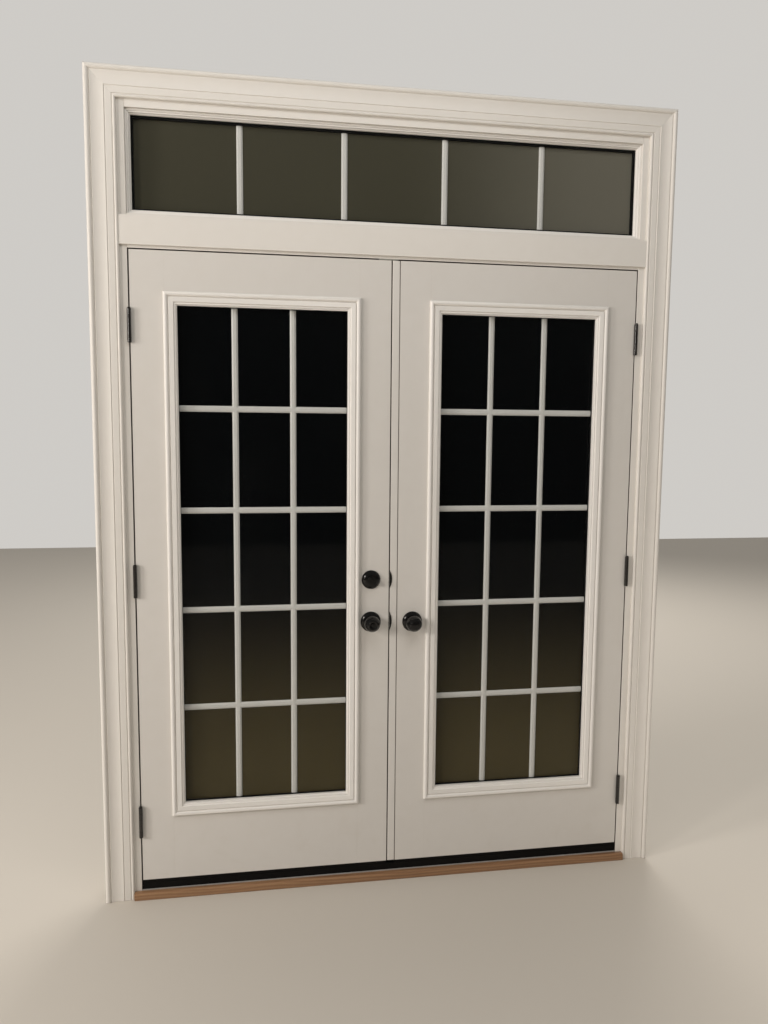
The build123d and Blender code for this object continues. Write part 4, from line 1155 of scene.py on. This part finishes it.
def lattice_tree(level_depth: float = 0.985) -> bpy.types.NodeTree:
    """Sets a bar one metre long out as a divided lite's grille.

    Args:
        level_depth: The level bars' depth as a share of the uprights', so that no faces coincide.

    Returns:
        The tree.
    """
    tree = RepeatTree(
        "divided_lite",
        {
            "Columns": Kind.COUNT,
            "Rows": Kind.COUNT,
            "Width": Kind.LENGTH,
            "Height": Kind.LENGTH,
            "Bar Width": Kind.LENGTH,
            "Centre": Kind.PLACE,
        },
    )
    columns, rows, width, height, bar_width = tree.sizes("Columns", "Rows", "Width", "Height", "Bar Width")
    column_pitch = (width + bar_width) / columns
    row_pitch = (height + bar_width) / rows
    upright_start = tree.vector(x=column_pitch - (width + bar_width) * 0.5)
    level_start = tree.vector(z=row_pitch - (height + bar_width) * 0.5)
    uprights = tree.copies(
        tree.row(columns - 1, upright_start, tree.vector(x=column_pitch)),
        tree.source,
        Scale=tree.vector(1.0, 1.0, height),
    )
    levels = tree.copies(
        tree.row(rows - 1, level_start, tree.vector(z=row_pitch)),
        tree.source,
        Rotation=(0.0, math.pi / 2, 0.0),
        Scale=tree.vector(1.0, level_depth, width),
    )
    return tree.end(tree.moved(tree.joined(uprights, levels), tree.given.outputs["Centre"]))


def screw_tree(sides: int = 24, taper: float = 0.86, recess_reach: float = 1.15) -> bpy.types.NodeTree:
    """Puts a cross-recessed screw head at each vertex, facing along its attribute.

    Args:
        sides: The head's sides.
        taper: The top's radius as a share of the rim's.
        recess_reach: The recess's length as a share of the head's radius.

    Returns:
        The tree.
    """
    names = ("Head Radius", "Head Height", "Recess Width", "Recess Depth")
    tree = RepeatTree("screw_heads", dict.fromkeys(names, Kind.LENGTH) | {"Seed": Kind.COUNT})
    radius, height, recess, depth, seed = tree.sizes(*names, "Seed")
    head = tree.node(
        "GeometryNodeMeshCone",
        {"fill_type": "NGON"},
        {"Vertices": sides, "Radius Top": radius * taper, "Radius Bottom": radius, "Depth": height},
    )
    reach = radius * recess_reach
    arms = []
    for x, y in ((reach, recess), (recess, reach)):
        arm = tree.node("GeometryNodeMeshCube", inputs={"Size": tree.vector(x, y, depth * 2)})
        arms.append(tree.moved(arm.outputs[0], tree.vector(z=height)))
    cut = tree.node(
        "GeometryNodeMeshBoolean", {"operation": "DIFFERENCE"}, {"Mesh 1": head.outputs[0], "Mesh 2": arms}
    )
    facing = tree.node("GeometryNodeInputNamedAttribute", {"data_type": "FLOAT_VECTOR"}, {"Name": "facing"})
    aligned = tree.node("FunctionNodeAlignRotationToVector", {"axis": "Z"}, {"Vector": facing.outputs[0]})
    spin = tree.node(
        "FunctionNodeRandomValue",
        {"data_type": "FLOAT"},
        {"Min_001": 0.0, "Max_001": math.pi / 2, "Seed": seed},
    )
    euler = tree.vector(z=Value(tree, spin.outputs[1]))
    spun = tree.node("FunctionNodeEulerToRotation", inputs={"Euler": euler})
    turned = tree.node(
        "FunctionNodeRotateRotation",
        {"rotation_space": "LOCAL"},
        {"Rotation": aligned.outputs[0], "Rotate By": spun.outputs[0]},
    )
    return tree.end(tree.copies(tree.source, cut.outputs[0], Rotation=turned.outputs[0]))


def rib_tree() -> bpy.types.NodeTree:
    """Lays ribs side by side.

    Returns:
        The tree.
    """
    tree = RepeatTree(
        "deck_ribs",
        {"Count": Kind.COUNT, "Length": Kind.LENGTH, "Start": Kind.PLACE, "Step": Kind.PLACE},
    )
    count, length = tree.sizes("Count", "Length")
    row = tree.row(count, tree.given.outputs["Start"], tree.given.outputs["Step"])
    return tree.end(tree.copies(row, tree.source, Scale=tree.vector(length, 1.0, 1.0)))


@dataclass
class Screws:
    """Countersunk cross-recessed screws in one finish."""

    model: Model
    tree: bpy.types.NodeTree
    head_radius: float = 0.0040
    head_height: float = 0.0012
    proud: float = 0.00025
    recess_width: float = 0.0010
    recess_depth: float = 0.0008

    def drive(
        self,
        name: str,
        places: Sequence[tuple[Vector, Vector]],
        body: str,
        slot: Slot,
        material: bpy.types.Material,
        seed: Turned,
        scale: float = 1.0,
    ) -> None:
        """Drives screws in at the places.

        Args:
            name: The group's name.
            places: Each screw's place on the surface, and the way that its head faces.
            body: The body that they ride on.
            slot: The record's slot.
            material: Their finish.
            seed: The seed of the way that their recesses stand.
            scale: Their size against the usual head.
        """
        data = bpy.data.meshes.new(name)
        sink = (self.head_height - self.proud) * scale
        data.from_pydata([place - facing * sink for place, facing in places], [], [])
        attribute = data.attributes.new("facing", "FLOAT_VECTOR", "POINT")
        attribute.data.foreach_set("vector", [c for _, facing in places for c in facing])
        group = bpy.data.objects.new(name, data)
        bpy.context.scene.collection.objects.link(group)
        screws = grown(
            group,
            self.tree,
            material,
            Head_Radius=self.head_radius * scale,
            Head_Height=self.head_height * scale,
            Recess_Width=self.recess_width * scale,
            Recess_Depth=self.recess_depth * scale,
            Seed=int(seed),
        )
        self.model.add(screws, body, slot)


# Sub-assemblies


@dataclass
class SubAssembly:
    """Pieces of the doors that are built together."""

    model: Model
    finishes: Finishes


@dataclass
class Casing(SubAssembly):
    """The indoor casing: two legs and a head with one moulded section, mitred at the upper corners."""

    bead: float = 0.0080
    flat: float = 0.0210
    outer_bead: float = 0.0150
    inner_thickness: float = 0.0110
    groove: float = 0.0018
    cove_depth: float = 0.0025
    arris: float = 0.0005

    def section(self, width: float, thickness: float) -> list[Point]:
        """Draws the section, from the wall round and back to it.

        Args:
            width: The casing's width.
            thickness: Its thickness at the outer bead.

        Returns:
            The section as (outward, towards indoors).
        """
        groove, inner, outer = self.groove, self.inner_thickness, thickness
        flat_end = self.bead + self.flat
        bead_start = width - self.outer_bead
        cove_start = (flat_end + 2 * groove, inner + groove / 2)
        cove_end = (bead_start - 2 * groove, outer - 2 * groove)
        cove_middle = (
            (cove_start[0] + cove_end[0]) / 2,
            (cove_start[1] + cove_end[1]) / 2 - self.cove_depth,
        )
        outer_start = (bead_start, outer - 2.4 * groove)
        outer_end = (width, outer - 2.8 * groove)
        points = [(0.0, 0.0)]
        points += arc((0.0, inner - self.bead / 2), (self.bead / 2, inner), (self.bead, inner - groove / 2))
        points += [
            (self.bead + groove, inner - 2 * groove),
            (self.bead + 2 * groove, inner - groove / 2),
            (flat_end, inner),
            (flat_end + groove, inner - groove),
        ]
        points += arc(cove_start, cove_middle, cove_end, 2 * ARC_STEPS)
        points += [(bead_start - groove, outer - 4 * groove)]
        points += arc(outer_start, (bead_start + self.outer_bead / 2, outer), outer_end)
        return points + [(width, 0.0)]

    def build(self) -> None:
        """Builds the legs and the head in their nodes' places."""
        low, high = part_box("casing_left")
        half, wall = -high.x, high.y
        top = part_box("casing_head")[0].z
        section = self.section(high.x - low.x, high.y - low.y)
        mitres = []
        for side, node in ((-1, "casing_left"), (1, "casing_right")):
            foot = [Vector((side * (half + a), wall - b, low.z)) for a, b in section]
            mitre = [Vector((side * (half + a), wall - b, top + a)) for a, b in section]
            leg = Piece(node + "_moulded").loft([foot, mitre]).done(self.finishes.upright, self.arris)
            self.model.replace(leg, node, Slot.FRAME)
            mitres.append(mitre)
        head = Piece("casing_head_moulded").loft(mitres).done(self.finishes.level, self.arris)
        self.model.replace(head, "casing_head", Slot.FRAME)


@dataclass
class LiteFrames(SubAssembly):
    """The moulded frames that clamp each leaf's glass from both sides."""

    width: float = 0.0415
    lap: float = 0.0260
    lip: float = 0.0105
    bead: float = 0.0140
    step: float = 0.0015
    setting_gap: float = 0.0010
    arris: float = 0.0006

    def section(self, proud: float, leg: float, glass: float) -> list[Point]:
        """Draws the section.

        Args:
            proud: How far the bead stands proud of the leaf.
            leg: How far the leg reaches into the leaf.
            glass: How far the glass lies back from the leaf's face.

        Returns:
            The section as (inward, proud of the leaf).
        """
        sight, bead, step = self.width, self.bead, self.step
        leg_start = self.lap + self.setting_gap
        leg_end = sight - self.lip - self.setting_gap
        points = [(0.0, 0.0)]
        points += arc((0.0, proud * 0.35), (bead / 2, proud), (bead, proud * 0.6), 2 * ARC_STEPS)
        points += [
            (bead + step, proud * 0.30),
            (bead + 2 * step, proud * 0.76),
            (sight - self.lip, proud * 0.62),
            (sight - self.lip + step, proud * 0.28),
            (sight - 2.8 * step, proud * 0.34),
            (sight - 1.9 * step, proud * 0.08),
            (sight, 0.0),
            (sight, -glass),
            (leg_end, -glass),
            (leg_end, -leg),
            (leg_start, -leg),
            (leg_start, 0.0),
        ]
        return points

    def build(self) -> None:
        """Builds the four frames in their nodes' places."""
        for leaf in ("active", "passive"):
            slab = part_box(leaf + "_slab")
            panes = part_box(leaf + "_panes")
            for near, side, outwards in ((0, "indoor", -1), (1, "outdoor", 1)):
                node = f"{leaf}_lite_frame_{side}"
                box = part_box(node)
                face = slab[near].y
                proud = (box[near].y - face) * outwards
                leg = (face - box[1 - near].y) * outwards
                section = self.section(proud, leg, (face - panes[near].y) * outwards)
                left, right = (box[0].x, 1), (box[1].x, -1)
                bottom, top = (box[0].z, 1), (box[1].z, -1)
                corners = ((left, bottom), (right, bottom), (right, top), (left, top))
                rings = [
                    [Vector((x + x_way * a, face + outwards * b, z + z_way * a)) for a, b in section]
                    for (x, x_way), (z, z_way) in corners
                ]
                ring = Piece(node + "_moulded").loft(rings, closed=True)
                self.model.replace(ring.done(self.finishes.lite_frame, self.arris), node, Slot.LITE_FRAME)


@dataclass
class Glazing(SubAssembly):
    """The sealed units: panes, spacers, the grilles between the panes, and a painted dark sheet between the
    panes that stands for the dark outdoors.
    """

    door_lites: tuple[int, int] = (3, 5)
    transom_lites: tuple[int, int] = (5, 1)
    bar_width: float = 0.0190
    bar_flat: float = 0.0090
    bar_depth: float = 0.0080
    bar_edge: float = 0.0026
    bar_crown: float = 0.38
    film: float = 0.0002
    film_inset: float = 0.0015

    def bar(self, name: str) -> bpy.types.Object:
        """Makes a grille bar one metre long about the origin, along Z.

        Args:
            name: Its name.

        Returns:
            The bar.
        """
        half, flat = self.bar_width / 2, self.bar_flat / 2
        deep, edge = self.bar_depth / 2, self.bar_edge / 2
        slope = ((half + flat) / 2, edge + (deep - edge) * self.bar_crown)
        quarter = [(half, edge), slope, (flat, deep)]
        front = quarter + [(-x, y) for x, y in reversed(quarter)]
        outline = front + [(-x, -y) for x, y in front]
        rings = [[Vector((x, y, z)) for x, y in outline] for z in (-0.5, 0.5)]
        return Piece(name).loft(rings).done(self.finishes.enamel)

    def build(self) -> None:
        """Builds the grilles and the painted dark sheets, and dresses the panes and spacers."""
        tree = lattice_tree()
        for unit, (columns, rows), painted_night in (
            ("active", self.door_lites, self.finishes.painted_night),
            ("passive", self.door_lites, self.finishes.painted_night),
            ("transom", self.transom_lites, self.finishes.painted_dusk),
        ):
            self.model.dress(unit + "_panes", self.finishes.glass)
            self.model.soften([unit + "_spacer"], self.finishes.spacer, Slot.SPACER)
            low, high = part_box(unit + "_spacer")
            centre = (low + high) / 2
            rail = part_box(unit + "_grille")[0].z - low.z
            grille = grown(
                self.bar(unit + "_grille_bars"),
                tree,
                self.finishes.enamel,
                Columns=columns,
                Rows=rows,
                Width=high.x - low.x - 2 * rail,
                Height=high.z - low.z - 2 * rail,
                Bar_Width=self.bar_width,
                Centre=tuple(centre),
            )
            self.model.replace(grille, unit + "_grille", Slot.GRILLE)
            # a sheet painted dark, with a painted glow, stands for the dark outdoors seen through the glass
            film = Piece(unit + "_night_film").block(
                Vector((low.x + self.film_inset, centre.y - self.film / 2, low.z + self.film_inset)),
                Vector((high.x - self.film_inset, centre.y + self.film / 2, high.z - self.film_inset)),
            )
            self.model.add(film.done(painted_night), self.model.body(unit + "_panes"), Slot.GLASS)


@dataclass
class Joinery(SubAssembly):
    """The frame's members and both leaves, in paint with eased arrises."""

    uprights: tuple[str, ...] = ("jamb_left", "jamb_right", "brickmould_left", "brickmould_right")
    levels: tuple[str, ...] = (
        "door_head_jamb",
        "door_head_stop",
        "transom_sill",
        "transom_head_jamb",
        "transom_band",
        "brickmould_head",
    )
    arris: float = 0.0007
    leaf_arris: float = 0.0005
    stop_arris: float = 0.0004
    astragal_arris: float = 0.0024
    astragal_facets: int = 3
    least_corner: float = 0.02
    corner_reach: float = 1e-5

    def build(self) -> None:
        """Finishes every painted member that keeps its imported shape."""
        soften = self.model.soften
        soften(self.uprights, self.finishes.upright, Slot.FRAME, self.arris)
        soften(self.levels, self.finishes.level, Slot.FRAME, self.arris)
        soften(["transom_stop"], self.finishes.lite_frame, Slot.FRAME, self.stop_arris)
        self.model.dress("mull_filler", self.finishes.level)
        soften(["active_slab", "passive_slab"], self.finishes.leaf, Slot.LEAF, self.leaf_arris)
        soften(
            ["astragal"],
            self.finishes.astragal,
            Slot.LEAF,
            self.astragal_arris,
            self.astragal_facets,
            self.is_front_corner,
        )

    def is_front_corner(self, edge: bmesh.types.BMEdge) -> bool:
        """Says whether an edge of the astragal is one of its long indoor corners.

        Args:
            edge: The edge.

        Returns:
            Whether it is.
        """
        low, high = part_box("astragal")
        for vertex in edge.verts:
            beside = min(abs(vertex.co.x - low.x), abs(vertex.co.x - high.x))
            if max(beside, abs(vertex.co.y - low.y)) >= self.corner_reach:
                return False
        return edge.calc_length() > self.least_corner


@dataclass
class Hinges(SubAssembly):
    """Six butt hinges with their pins and screws."""

    screws: Screws
    length: float = 0.1016
    leaf_width: float = 0.0360
    arris: float = 0.0004
    pin_arris: float = 0.0009
    pin_facets: int = 3
    end_margin: float = 0.0130
    near_column: float = 0.3
    far_column: float = 0.74

    def places(self, face: float, towards: float) -> list[tuple[Vector, Vector]]:
        """Sets out one side's screws, four to a hinge.

        Args:
            face: The plates' face along X.
            towards: The way that the face looks, 1 or -1.

        Returns:
            Each screw's place and the way that it faces.
        """
        low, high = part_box("hinge_leaves_active")
        lowest, highest = low.z + self.length / 2, high.z - self.length / 2
        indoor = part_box("active_slab")[0].y
        near = indoor + self.leaf_width * self.near_column
        far = indoor + self.leaf_width * self.far_column
        spread = self.length / 2 - self.end_margin
        return [
            (Vector((face, y, middle + z)), Vector((towards, 0.0, 0.0)))
            for middle in (lowest, (lowest + highest) / 2, highest)
            for z, y in ((-spread, near), (-spread / 3, far), (spread / 3, far), (spread, near))
        ]

    def build(self) -> None:
        """Finishes the leaves and pins and drives the screws."""
        finish, screw = self.finishes.hinge, self.finishes.screw
        leaves = ("hinge_leaves_frame", "hinge_leaves_active", "hinge_leaves_passive")
        self.model.soften(leaves, finish, Slot.HINGE, self.arris)
        self.model.soften(["hinge_pins"], finish, Slot.HINGE, self.pin_arris, self.pin_facets)
        jamb_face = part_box("door_head_jamb")[0].x
        leaf_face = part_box("active_slab")[0].x
        frame_side = self.places(jamb_face, 1.0) + self.places(-jamb_face, -1.0)
        for side, body, places, seed in (
            ("frame", "root", frame_side, Turned.FRAME_HINGES),
            ("active_leaf", "active_leaf", self.places(leaf_face, -1.0), Turned.ACTIVE_HINGES),
            ("passive_leaf", "passive_leaf", self.places(-leaf_face, 1.0), Turned.PASSIVE_HINGES),
        ):
            self.screws.drive("hinge_screws_" + side, places, body, Slot.HINGE, screw, seed)


@dataclass
class Locks(SubAssembly):
    """The knob sets, the latch, the deadbolt, the strikes and the flush bolts."""

    screws: Screws
    round_pieces: tuple[str, ...] = (
        "knob_indoor",
        "knob_outdoor",
        "dummy_knob_indoor",
        "dummy_knob_outdoor",
        "rose_indoor",
        "rose_outdoor",
        "deadbolt_rose",
    )
    edged_pieces: tuple[str, ...] = (
        "turn_button",
        "thumb_turn",
        "deadbolt_cylinder",
        "latch_case",
        "deadbolt_case",
        "latch_bolt",
        "deadbolt",
        "strike_plates",
        "flush_bolt_top",
        "flush_bolt_bottom",
    )
    arris: float = 0.0004
    plate_margin: float = 0.0065
    plate_screw_scale: float = 0.85
    rose_screw_at: float = 0.0215
    rose_screw_height: float = 0.0083
    rose_screw_scale: float = 0.8

    def build(self) -> None:
        """Finishes the hardware and drives its screws."""
        self.model.soften(self.round_pieces, self.finishes.bronze, Slot.BRONZE)
        self.model.soften(self.edged_pieces, self.finishes.bronze, Slot.BRONZE, self.arris)
        self.plate_screws()
        self.rose_screws()

    def plate_screws(self) -> None:
        """Drives two screws through each faceplate and each strike."""
        strikes_low, strikes_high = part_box("strike_plates")
        strike_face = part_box("astragal")[0].x
        strike_middle = (strikes_low.y + strikes_high.y) / 2
        faceplates, strikes = [], []
        for case, strike_end in (("latch_case", strikes_low.z), ("deadbolt_case", strikes_high.z)):
            low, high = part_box(case)
            middle = (low + high) / 2
            plate_reach = (high.z - low.z) / 2 - self.plate_margin
            strike_reach = abs(strike_end - middle.z) - self.plate_margin
            for side in (-1, 1):
                plate_place = Vector((high.x, middle.y, middle.z + side * plate_reach))
                faceplates.append((plate_place, Vector((1.0, 0.0, 0.0))))
                strike_place = Vector((strike_face, strike_middle, middle.z + side * strike_reach))
                strikes.append((strike_place, Vector((-1.0, 0.0, 0.0))))
        for name, places, body, seed in (
            ("faceplate_screws", faceplates, "active_leaf", Turned.FACEPLATES),
            ("strike_screws", strikes, "passive_leaf", Turned.STRIKES),
        ):
            material, scale = self.finishes.screw, self.plate_screw_scale
            self.screws.drive(name, places, body, Slot.BRONZE, material, seed, scale)

    def rose_screws(self) -> None:
        """Drives the two screws that hold the deadbolt's indoor rose."""
        low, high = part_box("deadbolt_rose")
        centre = (low + high) / 2
        y = high.y - self.rose_screw_height
        places = [
            (Vector((centre.x + side * self.rose_screw_at, y, centre.z)), Vector((0.0, -1.0, 0.0)))
            for side in (-1, 1)
        ]
        material, scale = self.finishes.bronze, self.rose_screw_scale
        self.screws.drive("rose_screws", places, "active_leaf", Slot.BRONZE, material, Turned.ROSE, scale)


@dataclass
class Sill(SubAssembly):
    """The sill's base, its aluminium deck with ribs, the black cap and the oak strip indoors."""

    rib_width: float = 0.0022
    rib_height: float = 0.0007
    rib_pitch: float = 0.0065
    rib_margin: float = 0.0080
    rib_setback: float = 0.0550
    rib_end_gap: float = 0.0010
    rib_steps: int = 6
    arris: float = 0.0008
    deck_arris: float = 0.0004

    def rib(self) -> bpy.types.Object:
        """Makes one low round rib, one metre long about the origin, along X.

        Returns:
            The rib.
        """
        half, height = self.rib_width / 2, self.rib_height
        section = arc((-half, 0.0), (0.0, height), (half, 0.0), self.rib_steps)
        section += [(half, -height), (-half, -height)]
        rings = [[Vector((x, y, z)) for y, z in section] for x in (-0.5, 0.5)]
        return Piece("sill_deck_ribs").loft(rings).done(self.finishes.deck)

    def build(self) -> None:
        """Finishes the sill and lays the ribs on the deck's fall."""
        for node, material, slot, arris in (
            ("sill_base", self.finishes.base, Slot.SILL_BASE, 0.0),
            ("sill_deck", self.finishes.deck, Slot.DECK, self.deck_arris),
            ("sill_cap", self.finishes.cap, Slot.CAP, self.arris),
            ("floor_nosing", self.finishes.oak, Slot.OAK, self.arris),
        ):
            self.model.soften([node], material, slot, arris)
        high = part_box("sill_deck")[1]
        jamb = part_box("jamb_left")[1]
        fall_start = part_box("transom_panes")[1].y
        drip_edge = max(point.z for point in packed_points("sill_deck") if point.y > high.y - ON_PLANE)
        slope = (high.z - drip_edge) / (high.y - fall_start)
        start = jamb.y - self.rib_setback
        ribs = grown(
            self.rib(),
            rib_tree(),
            self.finishes.deck,
            Count=int((high.y - self.rib_margin - start) / self.rib_pitch),
            Length=-2 * jamb.x - 2 * self.rib_end_gap,
            Start=(0.0, start, high.z - slope * (start - fall_start)),
            Step=(0.0, self.rib_pitch, -slope * self.rib_pitch),
        )
        self.model.add(ribs, "root", Slot.DECK)


@dataclass
class Seals(SubAssembly):
    """The weatherstrips, the sweeps, the meeting seal and the small pad over the astragal."""

    arris: float = 0.0012
    bulb_facets: int = 3
    meeting_arris: float = 0.0006
    sweep_arris: float = 0.0002
    pad_arris: float = 0.0004
    pad_length: float = 0.0620
    pad_thickness: float = 0.0018
    pad_clearance: float = 0.0020
    pad_setback: float = 0.0008
    pad_past_edge: float = 0.3

    def build(self) -> None:
        """Finishes the seals and sticks the pad under the head."""
        soften = self.model.soften
        soften(["weatherstrip"], self.finishes.seal, Slot.SEAL, self.arris, self.bulb_facets)
        soften(["astragal_seal"], self.finishes.seal, Slot.SEAL, self.meeting_arris)
        soften(["active_sweep", "passive_sweep"], self.finishes.sweep, Slot.SEAL, self.sweep_arris)
        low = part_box("astragal")[0]
        head_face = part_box("door_head_jamb")[0].y + ON_PLANE
        underside = min(point.z for point in packed_points("door_head_jamb") if point.y < head_face)
        end = low.x + self.pad_length * self.pad_past_edge
        bolt_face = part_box("flush_bolt_top")[0].y
        pad = Piece("head_pad").block(
            Vector((end - self.pad_length, low.y + self.pad_setback, underside - self.pad_thickness)),
            Vector((end, bolt_face - self.pad_clearance, underside)),
        )
        self.model.add(pad.done(self.finishes.pad, self.pad_arris), "root", Slot.SEAL)


# Studio


@dataclass
class Lamp:
    """One soft rectangular light."""

    name: str
    place: Place
    aim: Place
    size: Point
    power: float
    colour: Colour
    mirrored: bool = False

    def hang(self) -> None:
        """Puts the light into the scene."""
        data = bpy.data.lights.new(self.name, "AREA")
        data.shape = "RECTANGLE"
        data.size, data.size_y = self.size
        data.energy = self.power
        data.color = self.colour
        lamp = bpy.data.objects.new(self.name, data)
        lamp.location = self.place
        lamp.visible_glossy = self.mirrored
        direction = Vector(self.aim) - Vector(self.place)
        lamp.rotation_euler = direction.to_track_quat("-Z", "Y").to_euler()
        bpy.context.scene.collection.objects.link(lamp)


@dataclass
class Studio:
    """The floor, the light and the camera at the photograph's viewpoint.

    The camera looks outdoors, level, before it is turned about camera_turn's axis by its length in radians.
    """

    floor_size: float = 16.0
    floor_gap: float = 0.0005
    room: Colour = (0.080, 0.075, 0.068)
    ceiling: Colour = (0.190, 0.183, 0.170)
    beyond: Colour = (0.62, 0.60, 0.57)
    camera_place: Place = (-0.4541, -2.6060, 1.5281)
    camera_turn: Place = (0.1026, 0.0002, 0.1635)
    focal_length: float = 27.86
    film_height: float = 36.0
    lamps: tuple[Lamp, ...] = (
        Lamp("key", (-3.9, -3.0, 2.5), (0.0, 0.0, 1.2), (0.6, 0.6), 58.0, (1.0, 0.93, 0.86), mirrored=True),
        Lamp("side", (-5.2, -1.9, 2.2), (0.0, 0.0, 1.1), (0.9, 1.4), 125.0, (1.0, 0.95, 0.90)),
        Lamp("ceiling", (0.0, -1.6, 3.4), (0.0, -0.3, 0.5), (2.4, 0.9), 20.0, (1.0, 0.99, 0.97)),
        Lamp("bounce", (1.6, -0.9, 0.6), (0.7, -0.05, 0.4), (0.5, 0.9), 1.8, (1.0, 0.92, 0.83)),
        Lamp("back", (2.0, 4.6, 4.0), (0.0, 0.6, 0.6), (3.2, 2.2), 150.0, (1.0, 0.97, 0.93)),
    )

    def camera(self) -> None:
        """Sets the camera up."""
        data = bpy.data.cameras.new("camera")
        data.sensor_fit = "VERTICAL"
        data.sensor_height = self.film_height
        data.lens = self.focal_length
        turn = Vector(self.camera_turn)
        turned = Matrix.Rotation(turn.length, 3, turn.normalized()).transposed()
        level = Matrix.Rotation(math.pi / 2, 3, "X")
        camera = bpy.data.objects.new("camera", data)
        camera.matrix_world = Matrix.Translation(self.camera_place) @ (turned @ level).to_4x4()
        bpy.context.scene.collection.objects.link(camera)
        bpy.context.scene.camera = camera

    def world(self) -> None:
        """Lights the room from all round, dim indoors and pale beyond the doors."""
        world = bpy.data.worlds.new("room")
        world.use_nodes = True
        graph = Graph(world.node_tree)
        direction = graph.node("ShaderNodeTexCoord").outputs["Generated"]
        split = graph.node("ShaderNodeSeparateXYZ", inputs={"Vector": direction})
        upwards = Value(graph, split.outputs["Z"]).rise(0.0, 0.5)
        outwards = Value(graph, split.outputs["Y"]).rise(-0.3, 0.6)
        indoors = graph.blend(upwards, self.room, self.ceiling)
        colour = graph.blend(outwards, indoors, self.beyond)
        sky = graph.node("ShaderNodeBackground", inputs={"Color": colour})
        graph.node("ShaderNodeOutputWorld", inputs={"Surface": sky.outputs[0]})
        bpy.context.scene.world = world

    def floor(self) -> None:
        """Lays the floor just under the sill."""
        half = self.floor_size / 2
        corners = ((-half, -half), (half, -half), (half, half), (-half, half))
        data = bpy.data.meshes.new("floor")
        data.from_pydata([(x, y, -self.floor_gap) for x, y in corners], [], [range(len(corners))])
        data.materials.append(Backdrop("floor_plain").make())
        floor = bpy.data.objects.new("floor", data)
        bpy.context.scene.collection.objects.link(floor)

    def set_up(self) -> None:
        """Builds the whole studio."""
        self.camera()
        self.world()
        self.floor()
        for lamp in self.lamps:
            lamp.hang()
        bpy.context.scene.view_settings.view_transform = "Standard"


def main() -> None:
    """Builds the doors' visible pieces, their finishes and the studio."""
    logging.basicConfig(level=logging.INFO, format="%(message)s")
    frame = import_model()
    model = Model(frame["nodes"])
    Studio().set_up()
    finishes = Finishes()
    screws = Screws(model, screw_tree())
    parts = (
        Casing(model, finishes),
        LiteFrames(model, finishes),
        Glazing(model, finishes),
        Joinery(model, finishes),
        Hinges(model, finishes, screws),
        Locks(model, finishes, screws),
        Sill(model, finishes),
        Seals(model, finishes),
    )
    for part in parts:
        part.build()
        log.info("finished %s", type(part).__name__)


if __name__ == "__main__":
    main()
